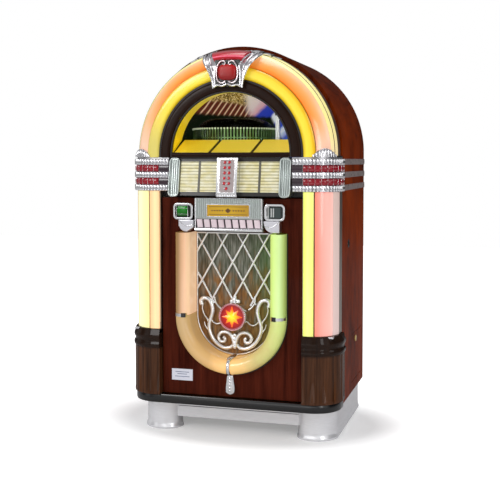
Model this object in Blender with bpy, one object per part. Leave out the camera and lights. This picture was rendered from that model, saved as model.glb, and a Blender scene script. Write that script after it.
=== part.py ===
"""Full-size arched jukebox: wood cabinet, lit front columns and arch, hinged lid and front door.

Metres, +Z up, front faces -Y, origin on the floor under the middle of the object.
"""

import math

import bmesh
import bpy
from mathutils import Matrix, Vector

# Cabinet
GAP = 0.0003  # clearance between touching pieces
SHELL_HALF = 0.41  # half width of the wood shell, and the radius of its round top
SHELL_WALL = 0.018
SPRING_Z = 1.11  # height at which the sides turn into the round top
FLOOR_Z = 0.125  # underside of the wood cabinet
SHELL_FRONT_Y = -0.1625
REAR_Y = 0.3441
BACK_PANEL_Y = 0.318
BOARD = 0.012
INNER_HALF = SHELL_HALF - SHELL_WALL - 0.0005

# Front section shared by the columns and the arch: a flat face that turns a round corner
FACE_Y = -0.297
CORNER_R = 0.10
CORNER_X = SHELL_HALF - CORNER_R
CORNER_Y = FACE_Y + CORNER_R
SECTION_IN = 0.2873
GROOVE_IN = 0.3222
GROOVE_OUT = 0.3348
GROOVE_Y = FACE_Y + 0.0145
LENS_WALL = 0.003
LENS_END_DEG = 20.8  # angle on the corner where the plastic meets the metal edge
PAN_WALL = 0.0025

# Columns
COLUMN_IN = 0.2843
KICK_TOP = 0.158
BASE_TOP = 0.415
LENS_BOTTOM = BASE_TOP + 0.0005
COLLAR_BOTTOM = 0.957
COLLAR_TOP = 1.081
COLLAR_IN = 0.2455
BAND_CHROME = 0.024
BAND_RED = 0.026
CYLINDER_X = 0.345
CYLINDER_Y = -0.226
CYLINDER_R = 0.038

# Lid
ARCH_Z = 1.0985  # centre of the lit arch and the window, a little under the wood top's centre
ARCH_CORNER_X = 0.303  # the arch stands a little inside the columns
ARCH_SEAM = 0.3334  # where its inner and outer plastics meet
LID_BOTTOM = 1.086
SILL_TOP = 1.105
WINDOW_R = 0.234
LID_HINGE_Y = -0.1605
LID_HINGE_Z = 1.527
CROWN_HALF_DEG = 10
ARCH_START_DEG = 1.4  # the plastics start just above the sill

# Title board and selector
DESK_TOP = 1.084
DESK_BOTTOM = 0.9365
BOARD_SLOPE = 0.183
BOARD_REF_Y = -0.289
BOARD_REF_Z = 1.07
SELECTOR_HALF = 0.0405
SELECTOR_TOP_Y = -0.3225
SELECTOR_LOW_Y = -0.3425
SELECTOR_LOW_Z = 0.948
BUTTON_R = 0.005
BUTTON_PITCH = 0.0198
BUTTON_COLUMN_X = 0.009
BUTTON_FIRST_Z = 1.067
BUTTON_ROWS = 5
BUTTON_PROUD = 0.004
BUTTON_SUNK = 0.008
BUTTON_TRAVEL = 0.003

# Door
DOOR_HALF = 0.2815
DOOR_BOTTOM = 0.160
DOOR_TOP = 0.931
DOOR_FRONT_Y = -0.2775
DOOR_BACK_Y = -0.2575
DOOR_HINGE_X = -0.281
DOOR_HINGE_Y = -0.2995
TUBE_CENTRE_Z = 0.472
TUBE_TOP = 0.797
TUBE_R = 0.190  # centre line of the light tube round the grille
TUBE_HALF = 0.0295
TUBE_CREST_Y = -0.3225
TUBE_WALL = 0.004
GRILLE_BACK_Y = -0.2175
OPENING_HALF = TUBE_R + TUBE_HALF + 0.0015
CLIP_Z = 0.477
COIN_FRONT_Y = -0.3185

# Mechanism
CHASSIS_Z = 1.060
CAROUSEL_X = -0.08
CAROUSEL_Y = 0.045
CAROUSEL_R = 0.185
CAROUSEL_BOTTOM = 1.076
CAROUSEL_TOP = 1.256
DISC_X = 0.235
DISC_Y = 0.06
DISC_Z = 1.205
DISC_R = 0.088

# Cash door in the right side
CASH_FRONT_Y = 0.062
CASH_REAR_Y = 0.302
CASH_BOTTOM = 0.165
CASH_TOP = 0.362
CASH_LOCK_Y = 0.150
CASH_LOCK_Z = 0.334

TUBE_STEPS = 18  # segments of the half-round light tube
ROUND = 32  # sides of a full circle on most turned pieces


def clear_scene():
    for obj in list(bpy.data.objects):
        bpy.data.objects.remove(obj)


def material(name, colour, roughness, metallic=0.0):
    made = bpy.data.materials.get(name)
    if made:
        return made
    made = bpy.data.materials.new(name)
    made.use_nodes = True
    shader = made.node_tree.nodes["Principled BSDF"]
    shader.inputs["Base Color"].default_value = (*colour, 1.0)
    shader.inputs["Roughness"].default_value = roughness
    shader.inputs["Metallic"].default_value = metallic
    made.diffuse_color = (*colour, 1.0)
    return made


FINISHES = {
    "dark_wood": ((0.075, 0.018, 0.010), 0.30, 0.0),
    "board": ((0.25, 0.16, 0.09), 0.70, 0.0),
    "chrome": ((0.80, 0.80, 0.80), 0.12, 1.0),
    "aluminium": ((0.62, 0.62, 0.63), 0.35, 1.0),
    "black_plastic": ((0.012, 0.011, 0.012), 0.45, 0.0),
    "bronze_plastic": ((0.060, 0.035, 0.022), 0.32, 0.4),
    "lit_yellow": ((0.95, 0.80, 0.35), 0.30, 0.0),
    "lit_orange": ((0.95, 0.45, 0.14), 0.30, 0.0),
    "lit_green": ((0.55, 0.72, 0.25), 0.30, 0.0),
    "lit_pink": ((0.92, 0.40, 0.32), 0.30, 0.0),
    "red_plastic": ((0.36, 0.005, 0.012), 0.22, 0.0),
    "clear_glass": ((0.90, 0.93, 0.92), 0.05, 0.0),
    "grille_cloth": ((0.045, 0.045, 0.030), 0.90, 0.0),
    "white_card": ((0.85, 0.78, 0.50), 0.60, 0.0),
    "record_vinyl": ((0.010, 0.014, 0.010), 0.25, 0.0),
    "steel": ((0.35, 0.35, 0.36), 0.40, 1.0),
    "brass": ((0.65, 0.45, 0.15), 0.30, 1.0),
}


def finish(obj, name, smooth_deg=None):
    obj.data.materials.clear()
    obj.data.materials.append(material(name, *FINISHES[name]))
    if smooth_deg is not None:
        obj.data.shade_smooth()
        obj.data.set_sharp_from_angle(angle=math.radians(smooth_deg))
    return obj


def object_from(name, bm):
    bmesh.ops.recalc_face_normals(bm, faces=bm.faces)
    mesh = bpy.data.meshes.new(name)
    bm.to_mesh(mesh)
    bm.free()
    obj = bpy.data.objects.new(name, mesh)
    bpy.context.scene.collection.objects.link(obj)
    return obj


def box(name, low, high):
    bm = bmesh.new()
    bmesh.ops.create_cube(bm, size=1.0)
    low, high = Vector(low), Vector(high)
    for vert in bm.verts:
        vert.co = Vector((low[i] + high[i]) / 2 + vert.co[i] * (high[i] - low[i]) for i in range(3))
    return object_from(name, bm)


def prism(name, outline, axis, start, end):
    """Extrudes a closed outline along an axis. The outline's pairs are the other two axes in order."""
    bm = bmesh.new()
    rings = []
    for level in (start, end):
        ring = []
        for first, second in outline:
            point = {"x": (level, first, second), "y": (first, level, second), "z": (first, second, level)}
            ring.append(bm.verts.new(point[axis]))
        rings.append(ring)
    count = len(outline)
    for i in range(count):
        following = (i + 1) % count
        bm.faces.new((rings[0][i], rings[0][following], rings[1][following], rings[1][i]))
    bm.faces.new(rings[0])
    bm.faces.new(rings[1])
    return object_from(name, bm)


def sweep(name, stations, profile, closed=False):
    """Carries a closed profile of (out, up) pairs along stations of (origin, out, up) vectors."""
    bm = bmesh.new()
    rings = []
    for origin, out, up in stations:
        rings.append([bm.verts.new(origin + out * a + up * b) for a, b in profile])
    count = len(profile)
    pairs = list(zip(rings, rings[1:]))
    if closed:
        pairs.append((rings[-1], rings[0]))
    for one, two in pairs:
        for i in range(count):
            following = (i + 1) % count
            bm.faces.new((one[i], one[following], two[following], two[i]))
    if not closed:
        bm.faces.new(rings[0])
        bm.faces.new(rings[-1])
    return object_from(name, bm)


def turned(name, profile, centre, axis=(0, 0, 1), sides=ROUND):
    """Turns a closed profile of (radius, height) pairs about an axis; a radius of 0 ends on the axis."""
    bm = bmesh.new()
    verts = [bm.verts.new((radius, 0, height)) for radius, height in profile]
    edges = [bm.edges.new((verts[i], verts[(i + 1) % len(verts)])) for i in range(len(verts))]
    bmesh.ops.spin(
        bm,
        geom=verts + edges,
        cent=(0, 0, 0),
        axis=(0, 0, 1),
        angle=2 * math.pi,
        steps=sides,
        use_merge=True,
    )
    bmesh.ops.remove_doubles(bm, verts=bm.verts, dist=1e-6)
    loose = [edge for edge in bm.edges if not edge.link_faces]
    bmesh.ops.delete(bm, geom=loose, context="EDGES")
    turn = Vector((0, 0, 1)).rotation_difference(Vector(axis)).to_matrix().to_4x4()
    bmesh.ops.transform(bm, matrix=Matrix.Translation(centre) @ turn, verts=bm.verts)
    return object_from(name, bm)


def rod(name, radius, start, end, sides=ROUND):
    start, end = Vector(start), Vector(end)
    length = (end - start).length
    return turned(name, [(0, 0), (radius, 0), (radius, length), (0, length)], start, end - start, sides)


def boolean(obj, tool, operation):
    modifier = obj.modifiers.new(operation.lower(), "BOOLEAN")
    modifier.operation = operation
    modifier.object = tool
    modifier.solver = "EXACT"
    graph = bpy.context.evaluated_depsgraph_get()
    graph.update()
    made = bpy.data.meshes.new_from_object(obj.evaluated_get(graph))
    obj.modifiers.clear()
    obj.data = made
    bpy.data.objects.remove(tool)
    return obj


def join(obj, *others):
    for other in others:
        boolean(obj, other, "UNION")
    return obj


def cut(obj, *tools):
    for tool in tools:
        boolean(obj, tool, "DIFFERENCE")
    return obj


def set_origin(obj, point):
    """Moves the object's origin onto its joint's axis and leaves its shape where it is."""
    obj.data.transform(Matrix.Translation(-Vector(point)))
    obj.location = point
    return obj


def arc(centre, radius, start_deg, end_deg, steps):
    points = []
    for i in range(steps + 1):
        angle = math.radians(start_deg + (end_deg - start_deg) * i / steps)
        points.append((centre[0] + radius * math.cos(angle), centre[1] + radius * math.sin(angle)))
    return points


def mirrored(side, points):
    return [(side * first, second) for first, second in points]


def corner_y(across):
    """Front face depth of the columns' section at a distance across it."""
    beyond = max(0.0, across - CORNER_X)
    return CORNER_Y - math.sqrt(CORNER_R * CORNER_R - beyond * beyond)


def lens_section():
    """Plastic front: inner strip, groove for the bubble tube, outer strip round the corner."""
    inner = CORNER_R - LENS_WALL
    start = math.degrees(math.acos((GROOVE_OUT - CORNER_X) / CORNER_R))
    inner_start = math.degrees(math.acos((GROOVE_OUT + LENS_WALL - CORNER_X) / inner))
    outer_arc = arc((CORNER_X, CORNER_Y), CORNER_R, -start, -LENS_END_DEG, 7)
    inner_arc = arc((CORNER_X, CORNER_Y), inner, -LENS_END_DEG, -inner_start, 7)
    outside = [(SECTION_IN, FACE_Y), (CORNER_X, FACE_Y), (GROOVE_IN, corner_y(GROOVE_IN))]
    groove = [(GROOVE_IN, GROOVE_Y), (GROOVE_OUT, GROOVE_Y)]
    behind = GROOVE_IN - LENS_WALL
    groove_back = [(GROOVE_OUT + LENS_WALL, GROOVE_Y + LENS_WALL), (behind, GROOVE_Y + LENS_WALL)]
    inside = [(behind, FACE_Y + LENS_WALL), (SECTION_IN, FACE_Y + LENS_WALL)]
    return outside + groove + outer_arc + inner_arc + groove_back + inside


def inner_strip_section():
    """Inner plastic of the arch: flat, then just turning the corner."""
    wall, end_y = LENS_WALL, FACE_Y + 0.0045
    outside = [(SECTION_IN, FACE_Y), (ARCH_CORNER_X + 0.010, FACE_Y), (ARCH_SEAM, end_y)]
    inside = [(ARCH_SEAM, end_y + wall), (ARCH_CORNER_X + 0.008, FACE_Y + wall), (SECTION_IN, FACE_Y + wall)]
    return outside + inside


def outer_strip_section():
    """Outer plastic of the arch, round the corner."""
    centre, inner = (ARCH_CORNER_X, CORNER_Y), CORNER_R - LENS_WALL
    across = ARCH_SEAM + 0.0008 - ARCH_CORNER_X
    start = math.degrees(math.acos(across / CORNER_R))
    inner_start = math.degrees(math.acos(across / inner))
    outer_arc = arc(centre, CORNER_R, -start, -LENS_END_DEG, 7)
    inner_arc = arc(centre, inner, -LENS_END_DEG, -inner_start, 7)
    return outer_arc + inner_arc


def pan_section(corner_x=CORNER_X):
    """Sheet-metal channel behind the plastic; its outer flange is the visible metal edge."""
    end = LENS_END_DEG - 0.5
    back = SHELL_FRONT_Y - 0.0008
    half = corner_x + CORNER_R
    outside = [(COLUMN_IN, FACE_Y + 0.002), (COLUMN_IN, back), (half, back)]
    flange = arc((corner_x, CORNER_Y), CORNER_R, 0, -end, 3)
    flange_in = arc((corner_x, CORNER_Y), CORNER_R - PAN_WALL, -end, 0, 3)
    front = back - PAN_WALL
    inside = [(half - PAN_WALL, front), (COLUMN_IN + PAN_WALL, front), (COLUMN_IN + PAN_WALL, FACE_Y + 0.002)]
    return outside + flange + flange_in + inside


def corner_stations(side, start_x, end_y, steps=8):
    """Stations in plan along the front face, round the corner and back along the side."""
    up = Vector((0, 0, 1))
    stations = [(Vector((side * start_x, FACE_Y, 0)), Vector((0, -1, 0)), up)]
    for i in range(steps + 1):
        angle = math.pi / 2 * (1 - i / steps)
        out = Vector((side * math.cos(angle), -math.sin(angle), 0))
        centre = Vector((side * CORNER_X, CORNER_Y, 0))
        stations.append((centre + out * CORNER_R, out, up))
    stations.append((Vector((side * SHELL_HALF, end_y, 0)), Vector((side, 0, 0)), up))
    return stations


def arch_stations(start_deg, end_deg, steps):
    """Stations round the arch's centre, for profiles of (radius, y) pairs."""
    stations = []
    for i in range(steps + 1):
        angle = math.radians(start_deg + (end_deg - start_deg) * i / steps)
        out = Vector((math.cos(angle), 0, math.sin(angle)))
        stations.append((Vector((0, 0, ARCH_Z)), out, Vector((0, 1, 0))))
    return stations


def arch_outline(half, bottom, steps=32):
    return [(half, bottom)] + arc((0, SPRING_Z), half, 0, 180, steps) + [(-half, bottom)]


# ---------------------------------------------------------------- cabinet


def cabinet_shell():
    inner = arch_outline(SHELL_HALF - SHELL_WALL, FLOOR_Z)
    outline = arch_outline(SHELL_HALF, FLOOR_Z) + inner[::-1]
    shell = prism("cabinet_shell", outline, "y", SHELL_FRONT_Y, REAR_Y)
    low = (SHELL_HALF - 0.03, CASH_FRONT_Y, CASH_BOTTOM)
    high = (SHELL_HALF + 0.01, CASH_REAR_Y, CASH_TOP)
    lock_hole = rod("lock_hole", 0.011, (SHELL_HALF - 0.03, -0.03, 0.745), (SHELL_HALF + 0.01, -0.03, 0.745), 16)
    cut(shell, box("cash_opening", low, high), lock_hole)
    return finish(shell, "dark_wood", 40)


def cabinet_floor():
    """Floor board: its front corners follow the kick trim, and the back panel stands on its rear edge."""
    radius = CORNER_R - 0.0105
    right = arc((INNER_HALF - radius, CORNER_Y), radius, 270, 360, 6) + [(INNER_HALF, REAR_Y - 0.002)]
    left = [(-first, second) for first, second in reversed(right)]
    return finish(prism("cabinet_floor", right + left, "z", FLOOR_Z + GAP, 0.145), "board")


def back_panel():
    outline = arch_outline(INNER_HALF, 0.1453)
    panel = prism("back_panel", outline, "y", BACK_PANEL_Y, BACK_PANEL_Y + BOARD)
    for row in range(6):
        low_z = 0.70 + row * 0.045
        slot = box("slot", (-0.22, BACK_PANEL_Y - 0.02, low_z), (0.22, BACK_PANEL_Y + 0.04, low_z + 0.014))
        cut(panel, slot)
    cut(panel, box("inlet_hole", (-0.030, BACK_PANEL_Y - 0.02, 0.185), (0.030, BACK_PANEL_Y + 0.04, 0.235)))
    return finish(panel, "board")


def amplifier():
    """Sheet-metal case, open in front towards the door, with its mains inlet through the back panel."""
    wall = 0.002
    low, high = (-0.16, 0.130, 0.1453), (0.16, 0.3175, 0.285)
    chassis = box("amplifier", low, high)
    room_low = (low[0] + wall, low[1] - 0.01, low[2] + wall)
    room_high = (high[0] - wall, high[1] - 0.004, high[2] - wall)
    cut(chassis, box("room", room_low, room_high))
    transformer = box("transformer", (0.040, 0.180, low[2] + 0.001), (0.130, 0.260, 0.235))
    inlet = box("inlet", (-0.027, 0.3150, 0.188), (0.027, BACK_PANEL_Y + BOARD, 0.232))
    socket = box("socket", (-0.013, 0.322, 0.200), (0.013, 0.34, 0.220))
    join(chassis, transformer, inlet)
    cut(chassis, socket)
    return finish(chassis, "steel")


def base_casting():
    """Floor frame: side skirts, wide front feet, and a recessed front apron."""
    top = FLOOR_Z - GAP
    half, wall = 0.393, 0.014
    front, rear = -0.2305, 0.322
    foot_in, foot_back = 0.243, -0.165
    apron_front, apron_back = -0.1975, -0.185
    right = [(half, rear), (half, front), (foot_in, front), (foot_in, apron_front)]
    left = [(-first, second) for first, second in reversed(right)]
    inner_right = [(foot_in + 0.01, apron_back), (foot_in + 0.01, foot_back), (half - wall, foot_back)]
    inner_right.append((half - wall, rear - wall))
    inner_left = [(-first, second) for first, second in reversed(inner_right)]
    outer = prism("base_casting", right + left, "z", 0.0, top)
    hollow = prism("hollow", inner_right + inner_left, "z", -0.05, 0.2)
    under = box("under", (-foot_in + 0.004, -0.30, -0.01), (foot_in - 0.004, -0.10, 0.045))
    under_back = box("under_back", (-0.30, 0.25, -0.01), (0.30, 0.40, 0.045))
    cut(outer, hollow, under, under_back)
    for side in (-1, 1):
        lip_low = (min(side * 0.236, side * 0.400), -0.2385, 0.0)
        lip_high = (max(side * 0.236, side * 0.400), -0.2200, 0.012)
        join(outer, box("lip", lip_low, lip_high))
    return finish(outer, "aluminium")


def kick_trim():
    """Black band round the front of the cabinet, under the columns and the door."""
    inner, outer = -0.010, 0.008
    low, high = FLOOR_Z + GAP, KICK_TOP - GAP
    profile = [(inner, low), (outer, low), (outer, high), (inner, high)]
    end_y = SHELL_FRONT_Y - 0.0008
    right = corner_stations(1, 0.0, end_y)
    left = corner_stations(-1, 0.0, end_y)[::-1]
    trim = sweep("kick_trim", left[:-1] + right, profile)
    return finish(trim, "black_plastic", 40)


# ---------------------------------------------------------------- columns


def side_name(side):
    return "left" if side < 0 else "right"


def column_base(side):
    """Dark plinth casting with a ringed cap that carries the column plastics."""
    shaft, rings, inner, seat = 0.013, 0.0175, 0.004, -0.075
    profile = [
        (inner, KICK_TOP),
        (shaft, KICK_TOP),
        (shaft, 0.342),
        (rings, 0.346),
        (rings, 0.362),
        (shaft, 0.366),
        (shaft, 0.376),
        (rings, 0.380),
        (rings, 0.396),
        (shaft, 0.400),
        (0.008, BASE_TOP),
        (seat, BASE_TOP),
        (seat, BASE_TOP - 0.008),
        (inner, BASE_TOP - 0.008),
    ]
    stations = corner_stations(side, COLUMN_IN + 0.0005, SHELL_FRONT_Y - 0.0008)
    return finish(sweep("column_base_" + side_name(side), stations, profile), "bronze_plastic", 40)


def column_lens(side):
    outline = mirrored(side, lens_section())
    lens = prism("column_lens_" + side_name(side), outline, "z", LENS_BOTTOM, COLLAR_BOTTOM - 0.0005)
    return finish(lens, "lit_yellow" if side < 0 else "lit_pink", 40)


def column_pan(side):
    outline = mirrored(side, pan_section())
    pan = prism("column_pan_" + side_name(side), outline, "z", LENS_BOTTOM, COLLAR_BOTTOM - 0.0005)
    return finish(pan, "aluminium", 40)


def bubble_tube(side):
    middle = side * (GROOVE_IN + GROOVE_OUT) / 2
    centre_y = GROOVE_Y - 0.0060
    low = (middle, centre_y, LENS_BOTTOM)
    high = (middle, centre_y, COLLAR_BOTTOM - 0.0005)
    return finish(rod("bubble_tube_" + side_name(side), 0.0055, low, high, 12), "clear_glass", 60)


def color_cylinder(side):
    """Tinted drum that turns round the column's lamp: open at the top, with a floor and a pivot."""
    outer, wall = CYLINDER_R, 0.0015
    low, high = 0.430, 0.945
    foot = BASE_TOP + 0.0005
    profile = [(0, foot), (0.006, foot), (0.006, low), (outer, low), (outer, high)]
    profile += [(outer - wall, high), (outer - wall, low + wall), (0, low + wall)]
    centre = (side * CYLINDER_X, CYLINDER_Y, 0)
    drum = turned("color_cylinder_" + side_name(side), profile, centre, sides=24)
    return finish(set_origin(drum, centre), "lit_orange", 40)


def collar(side):
    """Chrome casting of three bands round the corner, with two pockets for the red insert."""
    proud, core, back = 0.012, 0.001, -0.006
    profile = [(back, COLLAR_BOTTOM)]
    level = COLLAR_BOTTOM
    for _ in range(2):
        profile += [(proud, level), (proud, level + BAND_CHROME), (core, level + BAND_CHROME)]
        level += BAND_CHROME + BAND_RED
        profile += [(core, level)]
    profile += [(proud, level), (proud, COLLAR_TOP), (back, COLLAR_TOP)]
    stations = corner_stations(side, COLLAR_IN, SHELL_FRONT_Y - 0.0008)
    return finish(sweep("collar_" + side_name(side), stations, profile), "chrome", 40)


def collar_band(side):
    """Red insert: two strips in the collar's pockets, joined by a bridge past the collar's end."""
    low, high = 0.0013, 0.0085
    start = 0.2425
    end_y = SHELL_FRONT_Y - 0.004
    strips = []
    for number in range(2):
        bottom = COLLAR_BOTTOM + BAND_CHROME + number * (BAND_CHROME + BAND_RED) + GAP
        top = bottom + BAND_RED - 2 * GAP
        profile = [(low, bottom), (high, bottom), (high, top), (low, top)]
        strips.append(sweep("strip", corner_stations(side, start, end_y), profile))
    bottom = COLLAR_BOTTOM + BAND_CHROME + 0.002
    top = COLLAR_TOP - BAND_CHROME - 0.002
    left, right = sorted((side * (start - 0.0004), side * (COLLAR_IN - GAP)))
    bridge = box("bridge", (left, FACE_Y - high + 0.001, bottom), (right, FACE_Y - low - 0.001, top))
    strips[0].name = "collar_band_" + side_name(side)
    return finish(join(strips[0], bridge, strips[1]), "red_plastic", 40)


# ---------------------------------------------------------------- title board and selector


def board_y(level):
    """Front face depth of the sloping title board at a height."""
    return BOARD_REF_Y - BOARD_SLOPE * (BOARD_REF_Z - level)


def title_board():
    top, bottom, thick = 1.080, 0.940, 0.008
    outline = [(board_y(top), top), (board_y(bottom), bottom)]
    outline += [(board_y(bottom) + thick, bottom), (board_y(top) + thick, top)]
    return finish(prism("title_board", outline, "x", -0.1985, 0.1985), "white_card")


def title_end(side):
    outline = [(-0.3025, DESK_TOP), (-0.3275, DESK_BOTTOM), (-0.262, DESK_BOTTOM), (-0.262, DESK_TOP)]
    start, end = sorted((side * 0.199, side * 0.2415))
    return finish(prism("title_end_" + side_name(side), outline, "x", start, end), "chrome")


def selector_normal():
    """Direction out of the sloping button face."""
    rise = DESK_TOP - SELECTOR_LOW_Z
    run = SELECTOR_TOP_Y - SELECTOR_LOW_Y
    return Vector((0, -rise, run)).normalized()


def selector_point(across, level):
    share = (DESK_TOP - level) / (DESK_TOP - SELECTOR_LOW_Z)
    return Vector((across, SELECTOR_TOP_Y + share * (SELECTOR_LOW_Y - SELECTOR_TOP_Y), level))


def button_places():
    places = []
    for row in range(BUTTON_ROWS):
        for side in (-1, 1):
            places.append((side * BUTTON_COLUMN_X, BUTTON_FIRST_Z - row * BUTTON_PITCH))
    places.append((0.0, BUTTON_FIRST_Z - BUTTON_ROWS * BUTTON_PITCH))
    return places


def selector_housing():
    clearance = 0.0004
    outline = [(SELECTOR_TOP_Y, DESK_TOP), (SELECTOR_LOW_Y, SELECTOR_LOW_Z), (SELECTOR_LOW_Y + 0.005, SELECTOR_LOW_Z)]
    outline += [(SELECTOR_LOW_Y + 0.005, DESK_BOTTOM), (board_y(DESK_BOTTOM) - clearance, DESK_BOTTOM)]
    outline += [(board_y(DESK_TOP) - clearance, DESK_TOP)]
    housing = prism("selector_housing", outline, "x", -SELECTOR_HALF, SELECTOR_HALF)
    normal = selector_normal()
    for across, level in button_places():
        face = selector_point(across, level)
        depth = BUTTON_SUNK + BUTTON_TRAVEL + 0.002
        cut(housing, rod("hole", BUTTON_R + 0.0005, face - normal * depth, face + normal * 0.01, 12))
    return finish(housing, "chrome", 40)


def select_button(number, across, level):
    normal = selector_normal()
    face = selector_point(across, level)
    start = -BUTTON_SUNK
    profile = [(0, start), (BUTTON_R, start), (BUTTON_R, BUTTON_PROUD - 0.001)]
    profile += [(BUTTON_R - 0.001, BUTTON_PROUD), (0, BUTTON_PROUD)]
    button = turned(f"select_button_{number:02d}", profile, face, normal, 12)
    return finish(set_origin(button, face), "red_plastic", 50)


# ---------------------------------------------------------------- lid


def lid_section():
    """Sheet channel behind the arch plastics together with the dark ring round the window."""
    channel = pan_section(ARCH_CORNER_X)
    inner_wall = (COLUMN_IN + PAN_WALL, FACE_Y)
    ring = [inner_wall, (WINDOW_R, FACE_Y), (WINDOW_R, FACE_Y + 0.012), (COLUMN_IN, FACE_Y + 0.012)]
    return ring + channel[1:-1]


def lid_frame():
    """Arched channel with the window ring, standing on a sill that follows the front's outline."""
    frame = sweep("lid_frame", arch_stations(0, 180, 32), lid_section())
    back, proud, wall = SHELL_FRONT_Y - 0.0012, 0.001, 0.030
    half, radius = SHELL_HALF + proud, CORNER_R + proud
    right = arc((CORNER_X, CORNER_Y), radius, 270, 360, 6) + [(half, back), (half - wall, back)]
    right += arc((CORNER_X, CORNER_Y), radius - wall, 360, 270, 4)
    left = [(-first, second) for first, second in reversed(right)]
    sill = prism("sill", right + left, "z", LID_BOTTOM, SILL_TOP)
    join(frame, sill)
    return finish(set_origin(frame, (0, LID_HINGE_Y, LID_HINGE_Z)), "black_plastic", 40)


def arch_lens(side):
    stations = arch_stations(ARCH_START_DEG, 90 - CROWN_HALF_DEG, 14)
    if side < 0:
        stations = arch_stations(90 + CROWN_HALF_DEG, 180 - ARCH_START_DEG, 14)
    return finish(sweep("arch_lens_" + side_name(side), stations, outer_strip_section()), "lit_orange", 40)


def arch_lens_inner():
    stations = arch_stations(ARCH_START_DEG, 180 - ARCH_START_DEG, 32)
    return finish(sweep("arch_lens_inner", stations, inner_strip_section()), "lit_yellow", 40)


def window_glass():
    radius, low = 0.2825, SILL_TOP + 0.0006
    front = FACE_Y + 0.0125
    start = math.degrees(math.asin((low - ARCH_Z) / radius))
    outline = arc((0, ARCH_Z), radius, start, 180 - start, 32)
    glass = prism("window_glass", outline, "y", front, front + 0.003)
    return finish(glass, "clear_glass", 40)


def crown_casting():
    """Keystone casting over the middle of the arch."""
    front, back = -0.335, FACE_Y - 0.0015
    half = [(0.056, 1.346), (0.060, 1.375), (0.067, 1.395), (0.080, 1.425), (0.092, 1.448), (0.094, 1.468)]
    half += [(0.078, 1.490), (0.046, 1.497)]
    left = [(-first, second) for first, second in reversed(half)]
    plate = prism("crown_casting", half + left, "y", front, back)
    block = box("block", (-0.046, back - 0.01, 1.440), (0.046, -0.242, 1.4985))
    join(plate, block)
    cut(plate, box("gem_seat", (-0.036, front - 0.01, 1.379), (0.036, front + 0.008, 1.431)))
    return finish(plate, "chrome")


# ---------------------------------------------------------------- door


def tube_outline(half, top):
    """Closed outline, flat at the top and half round at the bottom."""
    return [(half, top)] + [(-half, top)] + arc((0, TUBE_CENTRE_Z), half, 180, 360, 28)


def door_panel():
    low, high = (-DOOR_HALF, DOOR_FRONT_Y, DOOR_BOTTOM), (DOOR_HALF, DOOR_BACK_Y, DOOR_TOP)
    panel = box("door_panel", low, high)
    rim = prism("rim", tube_outline(OPENING_HALF + 0.018, TUBE_TOP + 0.021), "y", DOOR_BACK_Y - 0.005, GRILLE_BACK_Y)
    join(panel, rim)
    opening = prism("opening", tube_outline(OPENING_HALF, TUBE_TOP + 0.003), "y", -0.35, -0.15)
    cut(panel, opening)
    return finish(set_origin(panel, (DOOR_HINGE_X, DOOR_HINGE_Y, 0)), "dark_wood")


def tube_section():
    """Channel section of the light tube: (distance from the centre line, y) pairs."""
    crest_y = TUBE_CREST_Y + TUBE_HALF
    inner = TUBE_HALF - TUBE_WALL
    outside = arc((0, crest_y), TUBE_HALF, 0, -180, 8)
    inside = arc((0, crest_y), inner, -180, 0, 6)
    back = GRILLE_BACK_Y - 0.0005
    return [(TUBE_HALF, back)] + outside + [(-TUBE_HALF, back), (-inner, back)] + inside + [(inner, back)]


def grille_tube_leg(side):
    outline = [(side * TUBE_R + first, second) for first, second in tube_section()]
    leg = prism("grille_tube_" + side_name(side), outline, "z", CLIP_Z + 0.0005, TUBE_TOP)
    return finish(leg, "lit_orange" if side < 0 else "lit_green", 40)


def grille_tube_bottom():
    stations = [(Vector((0, 0, CLIP_Z - 0.0005)), Vector((-1, 0, 0)), Vector((0, 1, 0)))]
    for i in range(TUBE_STEPS + 1):
        angle = math.radians(180 + 180 * i / TUBE_STEPS)
        stations.append((Vector((0, 0, TUBE_CENTRE_Z)), Vector((math.cos(angle), 0, math.sin(angle))), Vector((0, 1, 0))))
    stations.append((Vector((0, 0, CLIP_Z - 0.0005)), Vector((1, 0, 0)), Vector((0, 1, 0))))
    profile = [(TUBE_R + first, second) for first, second in tube_section()]
    return finish(sweep("grille_tube_bottom", stations, profile), "lit_orange", 40)


def grille_board():
    """Board behind the grille: carries the cloth in front and the loudspeaker behind."""
    front = GRILLE_BACK_Y + GAP
    board = prism("grille_board", tube_outline(OPENING_HALF + 0.018, TUBE_TOP + 0.021), "y", front, front + BOARD)
    speaker_hole = rod("speaker_hole", 0.132, (0, front - 0.02, 0.60), (0, front + 0.05, 0.60), 32)
    cut(board, speaker_hole)
    return finish(board, "board")


def grille_cloth():
    half = TUBE_R - TUBE_HALF - 0.0008
    back = GRILLE_BACK_Y - 0.0002
    cloth = prism("grille_cloth", tube_outline(half, TUBE_TOP), "y", back - 0.002, back)
    return finish(cloth, "grille_cloth")


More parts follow.
